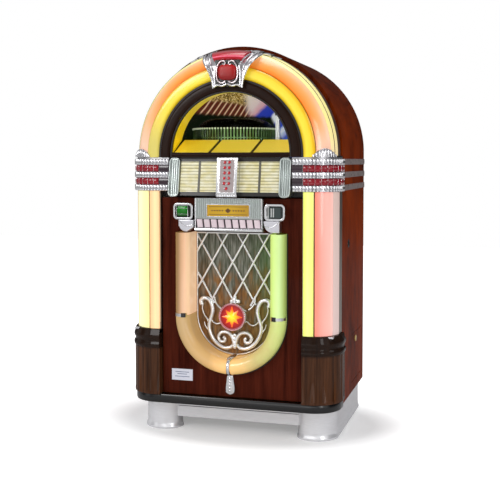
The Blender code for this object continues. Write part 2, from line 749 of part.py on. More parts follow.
def grille_casting():
    """Die-cast lattice with a boss for the medallion and a strap over the tube to a pendant."""
    half, rim = TUBE_R - TUBE_HALF - 0.0008, 0.009
    front, back = -0.2300, -0.2205
    plate = prism("grille_casting", tube_outline(half, TUBE_TOP), "y", front, back)
    wide, tall, bar = 0.080, 0.116, 0.0045
    bm = bmesh.new()
    for row in range(-6, 8):
        for column in range(-5, 6):
            if (row + column) % 2:
                continue
            centre_x = column * wide / 2
            centre_z = 0.60 + row * tall / 2
            corners = ((wide / 2 - bar, 0), (0, tall / 2 - bar * tall / wide))
            around = [(1, 0), (0, 1), (-1, 0), (0, -1)]
            rings = []
            for level in (front - 0.01, back + 0.01):
                ring = []
                for across, along in around:
                    point_x = centre_x + across * corners[0][0]
                    point_z = centre_z + along * corners[1][1]
                    ring.append(bm.verts.new((point_x, level, point_z)))
                rings.append(ring)
            for i in range(4):
                bm.faces.new((rings[0][i], rings[0][(i + 1) % 4], rings[1][(i + 1) % 4], rings[1][i]))
            bm.faces.new(rings[0])
            bm.faces.new(rings[1])
    diamonds = object_from("diamonds", bm)
    inside = prism("inside", tube_outline(half - rim, TUBE_TOP - rim), "y", front - 0.02, back + 0.02)
    boolean(diamonds, inside, "INTERSECT")
    boolean(diamonds, rod("boss_keep", 0.047, (0, -0.30, 0.47), (0, -0.15, 0.47), 24), "DIFFERENCE")
    boolean(diamonds, box("strap_keep", (-0.016, -0.3, 0.27), (0.016, -0.15, 0.44)), "DIFFERENCE")
    cut(plate, diamonds)
    boss_profile = [(0.030, 0), (0.0475, 0), (0.0475, 0.045), (0.043, 0.050), (0.0405, 0.050), (0.0405, 0.010)]
    boss_profile += [(0.030, 0.010)]
    boss = turned("boss", boss_profile, (0, back - 0.0006, 0.47), (0, -1, 0), 28)
    join(plate, boss, pendant())
    return finish(plate, "chrome", 40)


def pendant():
    """Strap that bridges the light tube at its lowest point and ends in a rounded paddle."""
    low, high = -0.2900, -0.2250
    clear = 0.0018
    thick = 0.005
    tube_z = TUBE_CENTRE_Z - TUBE_R
    crest_y = TUBE_CREST_Y + TUBE_HALF
    reach = TUBE_HALF + clear
    inner = [(high, tube_z + reach)] + arc((crest_y, tube_z), reach, 90, 270, 10)
    inner += [(low, tube_z - reach)]
    far = reach + thick
    outer = [(low, tube_z - far)] + arc((crest_y, tube_z), far, 270, 90, 10) + [(high, tube_z + far)]
    strap = prism("strap", inner + outer, "x", -0.0125, 0.0125)
    paddle_outline = [(0.0135, 0.2485), (-0.0135, 0.2485)] + arc((0, 0.203), 0.019, 170, 370, 12)
    paddle = prism("paddle", paddle_outline, "y", -0.2955, DOOR_FRONT_Y - 0.0005)
    return join(strap, paddle)


def medallion_lens():
    profile = [(0, 0), (0.040, 0), (0.040, 0.006), (0.030, 0.009), (0, 0.0105)]
    lens = turned("medallion_lens", profile, (0, -0.2600, 0.47), (0, -1, 0), 28)
    return finish(lens, "red_plastic", 40)


def coin_casting():
    """Chrome casting over the grille: coin entry, two side housings and quarter-round brackets."""
    right = [(0.136, 0.804), (0.140, 0.801), (0.200, 0.801), (0.196, 0.815), (0.186, 0.830), (0.175, 0.840)]
    right += [(0.205, 0.846), (0.217, 0.852), (0.222, 0.865), (0.222, 0.893), (0.217, 0.906), (0.205, 0.912)]
    right += [(0.140, 0.912), (0.136, 0.930)]
    left = [(-first, second) for first, second in reversed(right)]
    casting = prism("coin_casting", right + left, "y", COIN_FRONT_Y, DOOR_FRONT_Y - GAP)
    coin_slot = box("coin_slot", (0.1445, -0.33, 0.868), (0.1497, -0.285, 0.898))
    cup = box("cup", (0.1595, -0.33, 0.858), (0.2065, -0.288, 0.900))
    window = box("window", (-0.2065, -0.33, 0.860), (-0.1600, -0.312, 0.898))
    plate_seat = box("plate_seat", (-0.084, -0.33, 0.861), (0.084, -0.315, 0.907))
    cut(casting, coin_slot, cup, window, plate_seat)
    return finish(casting, "chrome")


def coin_return_flap():
    """Swinging flap of the coin return cup, hung from its top edge."""
    pivot = (0.183, -0.3120, 0.8965)
    flap = box("coin_return_flap", (0.1603, -0.3145, 0.8590), (0.2057, -0.3120, 0.8970))
    pin = rod("pin", 0.0016, (0.1603, -0.3125, 0.8970), (0.2057, -0.3125, 0.8970), 10)
    join(flap, pin)
    return finish(set_origin(flap, pivot), "steel")


def loudspeaker():
    """Basket, cone and magnet as one turned piece, bolted behind the grille board."""
    front = GRILLE_BACK_Y + GAP + BOARD + GAP
    profile = [(0.128, 0), (0.152, 0), (0.152, 0.004), (0.133, 0.008), (0.050, 0.058), (0.050, 0.090), (0, 0.090)]
    profile += [(0, 0.052), (0.034, 0.050)]
    speaker = turned("loudspeaker", profile, (0, front, 0.60), (0, 1, 0), 32)
    return finish(speaker, "steel", 40)


# ---------------------------------------------------------------- cash door


def cash_door():
    edge = 0.0015
    low = (SHELL_HALF - 0.014, CASH_FRONT_Y + edge, CASH_BOTTOM + edge)
    high = (SHELL_HALF, CASH_REAR_Y - edge, CASH_TOP - edge)
    door = box("cash_door", low, high)
    lock_hole = rod("hole", 0.0105, (SHELL_HALF - 0.03, CASH_LOCK_Y, CASH_LOCK_Z), (0.43, CASH_LOCK_Y, CASH_LOCK_Z), 16)
    cut(door, lock_hole)
    return finish(set_origin(door, (SHELL_HALF, CASH_REAR_Y - edge, 0)), "dark_wood")


def cash_lock():
    """Cylinder lock with a cam behind the door; the cam turns with the key."""
    centre = (0, CASH_LOCK_Y, CASH_LOCK_Z)
    start = SHELL_HALF - 0.019
    profile = [(0, -0.002), (0.0100, -0.002), (0.0100, 0.0193), (0.0130, 0.0193), (0.0120, 0.0225), (0, 0.0225)]
    lock = turned("cash_lock", profile, (start, CASH_LOCK_Y, CASH_LOCK_Z), (1, 0, 0), 20)
    cam_low = (start - 0.0035, CASH_LOCK_Y - 0.007, CASH_LOCK_Z - 0.007)
    cam = box("cam", cam_low, (start - 0.0005, CASH_LOCK_Y + 0.038, CASH_LOCK_Z + 0.007))
    keyway = box("keyway", (0.4115, CASH_LOCK_Y - 0.001, CASH_LOCK_Z - 0.005), (0.42, CASH_LOCK_Y + 0.001, CASH_LOCK_Z + 0.005))
    join(lock, cam)
    cut(lock, keyway)
    return finish(set_origin(lock, centre), "brass", 40)


def cash_box():
    """Open-topped steel box that catches the coins behind the cash door."""
    low, high, wall = (0.205, 0.075, 0.1453), (0.375, 0.290, 0.285), 0.002
    tray = box("cash_box", low, high)
    inner_low = tuple(value + wall for value in low)
    inner_high = (high[0] - wall, high[1] - wall, high[2] + 0.05)
    cut(tray, box("inner", inner_low, inner_high))
    return finish(tray, "steel")


# ---------------------------------------------------------------- record mechanism


def mechanism_chassis():
    """Steel plate across the cabinet with the carousel's pillar and the player's side bracket."""
    plate = box("mechanism_chassis", (-INNER_HALF, -0.150, CHASSIS_Z), (INNER_HALF, 0.3173, CHASSIS_Z + 0.004))
    bottom = CHASSIS_Z + 0.002
    pillar_profile = [(0, 0), (0.030, 0), (0.030, 0.004), (0.014, 0.005), (0.014, 0.130), (0, 0.130)]
    pillar = turned("pillar", pillar_profile, (CAROUSEL_X, CAROUSEL_Y, bottom), sides=20)
    bracket = box("bracket", (DISC_X + 0.022, DISC_Y - 0.10, bottom), (DISC_X + 0.030, DISC_Y + 0.10, DISC_Z + 0.05))
    spindle = rod("spindle", 0.008, (DISC_X + 0.010, DISC_Y, DISC_Z), (DISC_X + 0.026, DISC_Y, DISC_Z), 16)
    arm_post = rod("arm_post", 0.006, (DISC_X - 0.012, DISC_Y + 0.092, 1.150), (DISC_X + 0.026, DISC_Y + 0.092, 1.150), 12)
    grip_post = box("grip_post", (0.130, -0.104, bottom), (0.146, -0.088, 1.252))
    join(plate, pillar, bracket, spindle, arm_post, grip_post)
    return finish(plate, "steel", 40)


def record_carousel():
    """Basket of upright records round a hub that turns on the chassis pillar."""
    profile = [
        (0.0148, CAROUSEL_BOTTOM - 0.006),
        (0.060, CAROUSEL_BOTTOM - 0.006),
        (0.060, CAROUSEL_BOTTOM),
        (CAROUSEL_R, CAROUSEL_BOTTOM),
        (CAROUSEL_R, CAROUSEL_TOP - 0.06),
        (CAROUSEL_R - 0.035, CAROUSEL_TOP),
        (0.080, CAROUSEL_TOP),
        (0.050, CAROUSEL_TOP - 0.06),
        (0.0148, CAROUSEL_TOP - 0.06),
    ]
    centre = (CAROUSEL_X, CAROUSEL_Y, 0)
    carousel = turned("record_carousel", profile, centre, sides=36)
    return finish(set_origin(carousel, centre), "record_vinyl", 40)


def turntable():
    """Upright platter that plays the record on its edge."""
    profile = [(0.0086, 0), (0.030, 0), (0.030, 0.006), (DISC_R, 0.006), (DISC_R, 0.010), (0.0086, 0.010)]
    centre = (DISC_X + 0.021, DISC_Y, DISC_Z)
    platter = turned("turntable", profile, centre, (-1, 0, 0), 36)
    return finish(set_origin(platter, centre), "steel", 40)


def tone_arm():
    """Arm that pivots beside the platter and carries the cartridge over the record."""
    pivot = (DISC_X - 0.006, DISC_Y + 0.092, 1.150)
    hub = turned("tone_arm", [(0.0066, 0), (0.013, 0), (0.013, 0.008), (0.0066, 0.008)], pivot, (-1, 0, 0), 16)
    arm = box("arm", (pivot[0] - 0.007, pivot[1] - 0.003, 1.150 + 0.009), (pivot[0] - 0.001, pivot[1] + 0.003, 1.270))
    head = box("head", (pivot[0] - 0.008, pivot[1] - 0.022, 1.262), (pivot[0] - 0.0005, pivot[1] + 0.004, 1.272))
    join(hub, arm, head)
    return finish(set_origin(hub, pivot), "aluminium", 40)


def gripper_arm():
    """Arm that swings over the carousel, lifts a record out and carries it over to the platter."""
    pivot = (0.138, -0.096, 1.2525)
    hub = turned("gripper_arm", [(0, 0), (0.012, 0), (0.012, 0.022), (0, 0.022)], pivot, sides=16)
    arm = box("arm", (0.133, -0.096, 1.2665), (0.143, 0.010, 1.2725))
    claw = box("claw", (0.130, 0.004, 1.2625), (0.146, 0.018, 1.2720))
    join(hub, arm, claw)
    return finish(set_origin(hub, pivot), "aluminium", 40)


def main():
    clear_scene()
    cabinet_shell()
    cabinet_floor()
    back_panel()
    amplifier()
    base_casting()
    kick_trim()
    for side in (-1, 1):
        column_base(side)
        column_lens(side)
        column_pan(side)
        bubble_tube(side)
        color_cylinder(side)
        collar(side)
        collar_band(side)
        title_end(side)
        arch_lens(side)
        grille_tube_leg(side)
    title_board()
    selector_housing()
    for number, (across, level) in enumerate(button_places(), start=1):
        select_button(number, across, level)
    lid_frame()
    arch_lens_inner()
    window_glass()
    crown_casting()
    door_panel()
    grille_tube_bottom()
    grille_board()
    grille_cloth()
    grille_casting()
    medallion_lens()
    coin_casting()
    coin_return_flap()
    loudspeaker()
    cash_door()
    cash_lock()
    cash_box()
    mechanism_chassis()
    record_carousel()
    turntable()
    tone_arm()
    gripper_arm()


main()
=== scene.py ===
"""Looks of the jukebox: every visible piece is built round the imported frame, in the frame's metres."""

import math

import bmesh
import bpy
from mathutils import Matrix, Vector


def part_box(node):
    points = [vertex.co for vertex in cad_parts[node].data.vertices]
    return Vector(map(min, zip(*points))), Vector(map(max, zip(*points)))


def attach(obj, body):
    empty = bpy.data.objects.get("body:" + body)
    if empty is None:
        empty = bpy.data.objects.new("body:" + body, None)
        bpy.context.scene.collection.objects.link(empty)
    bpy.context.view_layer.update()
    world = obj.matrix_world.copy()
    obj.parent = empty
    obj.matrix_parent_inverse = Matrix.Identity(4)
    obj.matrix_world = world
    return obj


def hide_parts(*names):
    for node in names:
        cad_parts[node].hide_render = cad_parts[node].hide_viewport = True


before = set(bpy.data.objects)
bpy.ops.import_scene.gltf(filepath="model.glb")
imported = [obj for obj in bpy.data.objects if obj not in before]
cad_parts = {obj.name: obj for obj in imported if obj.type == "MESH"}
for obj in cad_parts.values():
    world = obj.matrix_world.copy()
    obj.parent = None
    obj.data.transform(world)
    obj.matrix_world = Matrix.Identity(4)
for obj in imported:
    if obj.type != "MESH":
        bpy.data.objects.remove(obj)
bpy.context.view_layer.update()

# Places read from the frame
SHELL_LOW, SHELL_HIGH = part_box("cabinet_shell")
DOOR_LOW, DOOR_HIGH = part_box("door_panel")
COIN_LOW, COIN_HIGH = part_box("coin_casting")
PLINTH_LOW, PLINTH_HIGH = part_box("column_base_right")
COLLAR_LOW, COLLAR_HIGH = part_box("collar_right")
STRIP_LOW, STRIP_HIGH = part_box("column_lens_right")
END_LOW, END_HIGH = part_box("title_end_right")
SELECTOR_LOW, SELECTOR_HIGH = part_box("selector_housing")
TUBE_LOW, TUBE_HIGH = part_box("grille_tube_right")
BOWL_LOW, BOWL_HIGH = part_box("grille_tube_bottom")
MEDAL_LOW, MEDAL_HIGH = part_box("medallion_lens")
CLOTH_LOW, CLOTH_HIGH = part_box("grille_cloth")
KICK_LOW, KICK_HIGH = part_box("kick_trim")
CAROUSEL_LOW, CAROUSEL_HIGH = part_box("record_carousel")
BASE_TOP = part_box("base_casting")[1].z
CROWN_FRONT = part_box("crown_casting")[0].y

HALF = SHELL_HIGH.x  # half width of the cabinet, and the radius of its round top
SPRING_Z = SHELL_HIGH.z - HALF  # where the sides turn into the round top
SHELL_FRONT = SHELL_LOW.y
REAR = SHELL_HIGH.y
FACE_Y = STRIP_LOW.y  # front plane of the columns and the arch
CORNER_R = 0.10
CORNER_X = HALF - CORNER_R
CORNER_Y = FACE_Y + CORNER_R
WALL = 0.018
FIT = 0.0008  # gap between the cabinet's front edge and what stands before it
LID_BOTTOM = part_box("lid_frame")[0].z + 0.0006
WINDOW_R = 0.234
SILL_TOP = 1.105
RING_IN = 0.2873
CHANNEL_IN = 0.2843  # inner side of the metal channel behind the columns and the arch
CHANNEL_WALL = 0.0035
ARCH_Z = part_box("window_glass")[1].z - 0.2825  # centre of the lit arch, a little under the wood top's
ARCH_CORNER_X = 0.303  # the arch stands a little inside the columns
ARCH_SEAM = 0.3334
DOOR_FRONT = DOOR_LOW.y
DOOR_THICK = 0.020
PLATE_BACK = DOOR_FRONT - 0.0003  # back of the castings that lie on the door
BAND_PITCH = 0.050  # from one chrome band of the collars to the next
LOCK_HOLE = (-0.03, 0.745)  # y and z of the round hole high on the side
BOWL_Z = BOWL_LOW.z + BOWL_HIGH.x  # centre of the half-round light tube
TUBE_MID = (TUBE_LOW.x + TUBE_HIGH.x) / 2
TUBE_HALF = (TUBE_HIGH.x - TUBE_LOW.x) / 2
TUBE_CENTRE_Y = TUBE_LOW.y + TUBE_HALF
MEDAL_Z = (MEDAL_LOW.z + MEDAL_HIGH.z) / 2
FINE = 96  # steps round the arch
SIDES = (-1, 1)


# ---------------------------------------------------------------- camera, lights, floor


def make_camera():
    data = bpy.data.cameras.new("camera")
    data.sensor_width = 36.0
    data.lens = 67.316
    data.shift_y = -0.09
    camera = bpy.data.objects.new("camera", data)
    tilt, azimuth = math.radians(2.752), math.radians(16.14)
    camera.location = (1.0643, -3.6942, 1.0759)
    camera.rotation_euler = (math.pi / 2 - tilt, 0, azimuth)
    bpy.context.scene.collection.objects.link(camera)
    bpy.context.scene.camera = camera


def area_light(name, place, target, size, power):
    data = bpy.data.lights.new(name, "AREA")
    data.shape = "RECTANGLE"
    data.size, data.size_y = size
    data.energy = power
    light = bpy.data.objects.new(name, data)
    light.location = place
    light.rotation_euler = (Vector(target) - Vector(place)).to_track_quat("-Z", "Y").to_euler()
    bpy.context.scene.collection.objects.link(light)


# Grey level of the light round the object: degrees from straight ahead, level
STUDIO_STRIPS = [
    (-180, 0.08), (-120, 0.08), (-110, 0.70), (-88, 0.70), (-80, 0.12), (-66, 0.18), (-58, 1.30), (-43, 1.30),
    (-37, 0.22), (-29, 0.22), (-23, 1.05), (-4, 1.05), (3, 0.22), (16, 0.18), (24, 0.95), (33, 0.95),
    (40, 0.16), (48, 0.20), (56, 1.25), (68, 1.25), (76, 0.10), (180, 0.08),
]


def make_world():
    """White behind the object, lit by soft upright strips, so that metal shows light and dark lines."""
    world = bpy.data.worlds.new("studio")
    world.use_nodes = True
    tree = world.node_tree
    tree.nodes.clear()
    split = node(tree, "ShaderNodeSeparateXYZ", {0: node(tree, "ShaderNodeTexCoord").outputs["Generated"]})
    turn = maths(tree, "ARCTAN2", split.outputs["X"], maths(tree, "MULTIPLY", split.outputs["Y"], -1))
    stops = [((angle + 180) / 360, (level, level, level)) for angle, level in STUDIO_STRIPS]
    strips = ramp(tree, stops, ranged(tree, turn, -math.pi, math.pi))
    above = ranged(tree, split.outputs["Z"], 0.30, 0.62)
    lit_by = node(
        tree,
        "ShaderNodeBackground",
        {"Color": mixed(tree, above, strips, (0.62, 0.62, 0.64)), "Strength": 0.70},
    )
    shown = node(tree, "ShaderNodeBackground", {"Color": (1, 1, 1, 1), "Strength": 1.0})
    seen = node(tree, "ShaderNodeLightPath").outputs["Is Camera Ray"]
    both = node(tree, "ShaderNodeMixShader", {"Fac": seen, 1: lit_by.outputs[0], 2: shown.outputs[0]})
    node(tree, "ShaderNodeOutputWorld", {"Surface": both.outputs[0]})
    bpy.context.scene.world = world


def make_studio():
    bpy.context.scene.view_settings.view_transform = "Standard"
    make_world()
    area_light("key", (-1.7, -3.2, 2.3), (0, 0, 0.8), (1.2, 1.4), 40)
    area_light("fill", (2.7, -2.8, 1.5), (0.1, 0, 0.8), (0.7, 2.0), 20)
    area_light("side", (3.4, -0.4, 2.4), (0.3, 0, 0.8), (1.0, 1.6), 9)
    area_light("top", (0.1, 0.2, 3.6), (0, 0, 0.9), (1.6, 1.6), 20)
    area_light("low", (0.1, -1.5, 0.35), (0, 0, 0.02), (1.4, 0.25), 1.4)


def make_floor():
    """Plain white floor that keeps a soft shadow near the object and fades into the background; its glow for
    the camera is weaker in an ellipse round the object, a painted shadow over the cast one.
    """
    bpy.ops.mesh.primitive_plane_add(size=16, location=(0, 0, -0.0006))
    floor = bpy.context.object
    floor.name = "studio_floor"
    paint, tree, shader = painted("studio_floor", 0.85, specular=0.1)
    # painted shadow: the camera-seen glow drops in an ellipse round the base, so the floor greys there
    far = ranged(tree, radial(tree, (0, 0), 0.51, 0.78, (1, 1.50, 0)), to=(0.28, 1.0))
    seen = node(tree, "ShaderNodeLightPath").outputs["Is Camera Ray"]
    fill(shader, {"Base Color": (0.80, 0.80, 0.80, 1), "Emission Color": (1, 1, 1, 1)})
    fill(shader, {"Emission Strength": maths(tree, "MULTIPLY", far, seen)})
    floor.data.materials.append(paint)


# ---------------------------------------------------------------- materials


def fill(made, values):
    """Sets a node's inputs: a socket is linked, and a plain value is set."""
    for key, value in values.items():
        if isinstance(value, bpy.types.NodeSocket):
            made.id_data.links.new(value, made.inputs[key])
        else:
            made.inputs[key].default_value = value
    return made


def node(tree, kind, values=None, **settings):
    made = tree.nodes.new(kind)
    for key, value in settings.items():
        setattr(made, key, value)
    return fill(made, values or {})


def painted(name, roughness, metallic=0.0, coat=0.0, specular=0.5):
    """New material, its node tree and its shader."""
    paint = bpy.data.materials.new(name)
    paint.use_nodes = True
    shader = paint.node_tree.nodes["Principled BSDF"]
    fill(shader, {"Roughness": roughness, "Metallic": metallic, "Coat Weight": coat, "Coat Roughness": 0.08})
    return paint, paint.node_tree, fill(shader, {"Specular IOR Level": specular})


def glowing(shader, colour, strength):
    """One colour for the surface and for its own light."""
    fill(shader, {"Base Color": colour, "Emission Color": colour, "Emission Strength": strength})


def rgb(red, green, blue):
    """Screen colour out of 255 to linear light."""
    return tuple((value / 255) ** 2.2 for value in (red, green, blue))


def shades(*stops):
    """Colour stops from (place, red, green, blue), with the colours out of 255."""
    return [(place, rgb(*colour)) for place, *colour in stops]


def ramp(tree, stops, factor):
    made = node(tree, "ShaderNodeValToRGB", {"Fac": factor})
    band = made.color_ramp
    for element, (place, colour) in zip(band.elements, (stops[0], stops[-1])):
        element.position, element.color = place, (*colour, 1)
    for place, colour in stops[1:-1]:
        band.elements.new(place).color = (*colour, 1)
    return made.outputs["Color"]


def maths(tree, operation, *values):
    return node(tree, "ShaderNodeMath", dict(enumerate(values)), operation=operation).outputs[0]


def vector_maths(tree, operation, *values):
    return node(tree, "ShaderNodeVectorMath", dict(enumerate(values)), operation=operation).outputs


def ranged(tree, value, low=0.0, high=1.0, to=(0.0, 1.0), kind="LINEAR"):
    """Maps the values between low and high to the range to."""
    ends = {"Value": value, "From Min": low, "From Max": high, "To Min": to[0], "To Max": to[1]}
    return node(tree, "ShaderNodeMapRange", ends, interpolation_type=kind).outputs["Result"]


def mask(tree, value, low, high):
    """Smooth step from 0 to 1 of a value between two levels."""
    return ranged(tree, value, low, high, kind="SMOOTHSTEP")


def mixed(tree, factor, first, second, blend="MIX"):
    """Colour mix: first and second are sockets or plain colours."""
    first, second = ((*value, 1) if isinstance(value, tuple) else value for value in (first, second))
    values = {"Factor": factor, "A": first, "B": second}
    return node(tree, "ShaderNodeMix", values, data_type="RGBA", blend_type=blend).outputs["Result"]


def here(tree):
    return node(tree, "ShaderNodeTexCoord").outputs["Object"]


def stretched(tree, scale=(1, 1, 1)):
    """Object coordinates multiplied by a scale for each axis."""
    return node(tree, "ShaderNodeMapping", {"Vector": here(tree), "Scale": scale}).outputs["Vector"]


def noise(tree, vector, scale, detail=4.0, distortion=0.0):
    values = {"Vector": vector, "Scale": scale, "Detail": detail, "Distortion": distortion}
    return node(tree, "ShaderNodeTexNoise", values).outputs["Fac"]


def stripes(tree, vector, direction, scale):
    values = {"Vector": vector, "Scale": scale}
    return node(
        tree, "ShaderNodeTexWave", values, wave_type="BANDS", bands_direction=direction
    ).outputs["Fac"]


def bump(shader, height, strength, distance):
    values = {"Height": height, "Strength": strength, "Distance": distance}
    fill(shader, {"Normal": node(shader.id_data, "ShaderNodeBump", values).outputs["Normal"]})


def vary_roughness(shader, vector, scale, low, high):
    tree = shader.id_data
    fill(shader, {"Roughness": ranged(tree, noise(tree, vector, scale, 5.0), to=(low, high))})


def linear(tree, axis, low, high):
    """A factor that rises from 0 to 1 between two places along an axis."""
    return ranged(tree, node(tree, "ShaderNodeSeparateXYZ", {0: here(tree)}).outputs[axis], low, high)


def radial(tree, centre, low, high, scale=(1, 0, 1)):
    """A factor that rises from 0 to 1 between two distances from a point of the XZ plane."""
    shifted = vector_maths(tree, "SUBTRACT", here(tree), (centre[0], 0, centre[1]))[0]
    length = vector_maths(tree, "LENGTH", vector_maths(tree, "MULTIPLY", shifted, scale)[0])
    return ranged(tree, length["Value"], low, high)


def slanted(tree, across, rise, wobble, scale=12.0):
    """A value that grows along a direction of the XZ plane, disturbed by noise."""
    where = here(tree)
    along = vector_maths(tree, "DOT_PRODUCT", where, (across, 0, rise))["Value"]
    return maths(tree, "MULTIPLY_ADD", noise(tree, where, scale, 3.0, 0.6), wobble, along)


def wood(name, dark, light, grain=(26, 26, 1.6), roughness=(0.30, 0.44), coat=0.0):
    """Lacquered veneer with its grain running along the axis that has the smallest scale."""
    paint, tree, shader = painted(name, roughness[0], coat=coat, specular=0.012)
    where = stretched(tree, grain)
    fine = noise(tree, where, 9.0, 3.0, 0.2)
    blend = maths(tree, "MULTIPLY_ADD", fine, 0.35, noise(tree, where, 1.6, 6.0, 0.6))
    middle = tuple((a + b) / 2 for a, b in zip(dark, light))
    fill(shader, {"Base Color": ramp(tree, [(0.42, dark), (0.62, middle), (0.88, light)], blend)})
    vary_roughness(shader, where, 3.0, *roughness)
    bump(shader, fine, 0.08, 0.0006)
    return paint


def metal(name, colour, roughness, grain=(60, 60, 60), wear=0.04, strength=0.03, metallic=1.0):
    """Polished, cast or brushed metal: the grain's scale per axis sets the direction of its marks."""
    paint, tree, shader = painted(name, roughness, metallic)
    where = stretched(tree, grain)
    marks = noise(tree, where, 4.0, 6.0)
    darker = tuple(value * 0.93 for value in colour)
    fill(shader, {"Base Color": ramp(tree, [(0.30, darker), (0.65, colour)], marks)})
    vary_roughness(shader, where, 2.5, roughness - wear / 2, roughness + wear)
    bump(shader, marks, strength, 0.0002)
    return paint


def moulded(name, colour, roughness=0.25, coat=0.3, change=0.85, metallic=0.0, scale=24, specular=0.5):
    """Moulded or painted surface with faint mottling and a fine texture."""
    paint, tree, shader = painted(name, roughness, metallic, coat, specular)
    where = stretched(tree)
    darker = tuple(value * change for value in colour)
    fill(shader, {"Base Color": ramp(tree, [(0.35, darker), (0.65, colour)], noise(tree, where, scale))})
    vary_roughness(shader, where, 60.0, roughness * 0.85, roughness * 1.2)
    bump(shader, noise(tree, where, 420.0), 0.04, 0.0004)
    return paint


def lit(name, stops, factor, glow=0.5, roughness=0.22, cloud=0.10, streak=(6, 6, 6), coat=0.4):
    """Translucent plastic with lamps behind it, also used for painted light on parts lit by lamps near them:
    colour stops along a factor, faint clouding, its own glow.
    """
    paint, tree, shader = painted(name, roughness, coat=coat)
    where = stretched(tree, streak)
    level = maths(tree, "SUBTRACT", factor[0](tree, *factor[1:]), cloud)
    cloudy = maths(tree, "MULTIPLY_ADD", noise(tree, where, 2.2, 5.0, 0.4), cloud * 2, level)
    glowing(shader, ramp(tree, shades(*stops), cloudy), glow)
    bump(shader, noise(tree, where, 40.0, 2.0), 0.05, 0.0005)
    return paint


def tinted(paint, tint, factor, low, high):
    """Blends a material's colour towards a tint, by a factor between two levels."""
    tree = paint.node_tree
    shader = tree.nodes["Principled BSDF"]
    plain = shader.inputs["Base Color"].links[0].from_socket
    colour = mixed(tree, mask(tree, factor[0](tree, *factor[1:]), low, high), plain, rgb(*tint))
    fill(shader, {"Base Color": colour, "Emission Color": colour})
    return paint


def clear_glass(name):
    paint, tree, shader = painted(name, 0.03)
    fill(shader, {"Base Color": (0.95, 0.98, 0.96, 1), "Transmission Weight": 1.0, "IOR": 1.05})
    vary_roughness(shader, stretched(tree), 12.0, 0.01, 0.04)
    return paint


def woven_cloth(name):
    """Coarse mottled weave, browner towards the bottom, with painted green light from the lit tube on its
    right and a faint painted glow.
    """
    paint, tree, shader = painted(name, 0.85)
    patches = noise(tree, stretched(tree, (24, 24, 8)), 1.5, 3.0, 0.3)
    streaks = noise(tree, stretched(tree, (90, 90, 9)), 2.0, 3.0)
    grey = ramp(tree, shades((0.30, 50, 56, 38), (0.50, 94, 95, 82), (0.70, 136, 134, 124)), streaks)
    brown = ramp(tree, shades((0.3, 96, 60, 26), (0.7, 150, 102, 46)), streaks)
    share = maths(tree, "MULTIPLY_ADD", linear(tree, "Z", 0.50, 0.80), -0.42, patches)
    mottled = mixed(tree, mask(tree, share, 0.22, 0.56), grey, brown)
    # painted light: green from the lit tube beside the cloth, blended in towards the right, and a faint glow
    # over the whole cloth
    green = mixed(tree, mask(tree, linear(tree, "X", 0.02, 0.20), 0.0, 1.5), mottled, rgb(78, 122, 56))
    glowing(fill(shader, {"Sheen Weight": 0.4}), green, 0.12)
    plain = stretched(tree)
    bump(
        shader,
        maths(tree, "MULTIPLY", stripes(tree, plain, "X", 160), stripes(tree, plain, "Z", 160)),
        0.5,
        0.0012,
    )
    return paint


def painted_mural(name):
    """Backdrop: gold scrollwork over slanting stripes, blue and white swirls on the right, painted shade
    below, and a glow of painted light from the display's lamps.
    """
    paint, tree, shader = painted(name, 0.6)
    wave = maths(tree, "PINGPONG", slanted(tree, 0.857, -0.515, 0.004), 0.0096)
    striped = mixed(tree, mask(tree, wave, 0.0056, 0.0084), rgb(96, 44, 30), rgb(226, 186, 150))
    lace = noise(tree, stretched(tree, (60, 60, 60)), 1.4, 4.0, 2.5)
    gold = ramp(tree, shades((0.40, 70, 48, 18), (0.50, 178, 140, 60), (0.60, 228, 204, 140)), lace)
    left = mixed(tree, mask(tree, slanted(tree, 0.12, 1.0, 0.04), 1.318, 1.340), striped, gold)
    stops = [
        (0.0, 206, 186, 138), (0.16, 236, 222, 206), (0.30, 232, 206, 204), (0.38, 222, 168, 176),
        (0.43, 52, 70, 180), (0.54, 44, 62, 176), (0.57, 240, 244, 250), (0.62, 236, 240, 248),
        (0.65, 56, 74, 186), (0.76, 60, 84, 186), (0.80, 230, 236, 246), (0.90, 70, 92, 186),
    ]
    right = ramp(tree, shades(*stops), ranged(tree, slanted(tree, 0.66, -0.75, 0.05, 9.0), -1.08, -0.78))
    picture = mixed(tree, mask(tree, slanted(tree, 1.0, 0.25, 0.05), 0.245, 0.280), left, right)
    # painted shade: dark green over the low part of the backdrop, where the records stand before it
    shade = mask(tree, slanted(tree, 0.05, 1.0, 0.012, 30.0), 1.278, 1.262)
    right_end = mask(tree, slanted(tree, 1.0, 0.5, 0.01, 30.0), 0.66, 0.64)
    # painted light: the whole backdrop glows as if lit by the display's lamps
    glowing(shader, mixed(tree, maths(tree, "MULTIPLY", shade, right_end), picture, rgb(16, 26, 10)), 0.62)
    return paint


def title_strips(name):
    """Blank cards: two-tone rows with thin rules between them."""
    paint, tree, shader = painted(name, 0.45, coat=0.2)
    rows = stripes(tree, stretched(tree), "Z", 26.5)
    stops = shades((0.0, 136, 132, 112), (0.14, 204, 200, 168), (0.45, 226, 222, 192), (1.0, 240, 238, 220))
    patches = noise(tree, stretched(tree, (34, 1, 60)), 1.0, 2.0)
    tone = ramp(tree, shades((0.35, 234, 226, 182), (0.65, 252, 250, 242)), patches)
    glowing(shader, mixed(tree, 1.0, ramp(tree, stops, rows), tone, "MULTIPLY"), 0.24)
    return paint


def arch_orange(name):
    stops = [
        (0.0, 222, 110, 24), (0.22, 240, 144, 58), (0.5, 242, 164, 94), (0.78, 250, 190, 146),
        (1.0, 250, 214, 190),
    ]
    paint = lit(name, stops, (radial, (0, ARCH_Z), 0.334, 0.397), 0.40, cloud=0.12)
    tinted(paint, (240, 194, 150), (slanted, -1.0, -0.6, 0.03), -0.62, -0.20)
    return tinted(paint, (246, 200, 176), (slanted, 0.0, -1.0, 0.03), -1.24, -1.06)


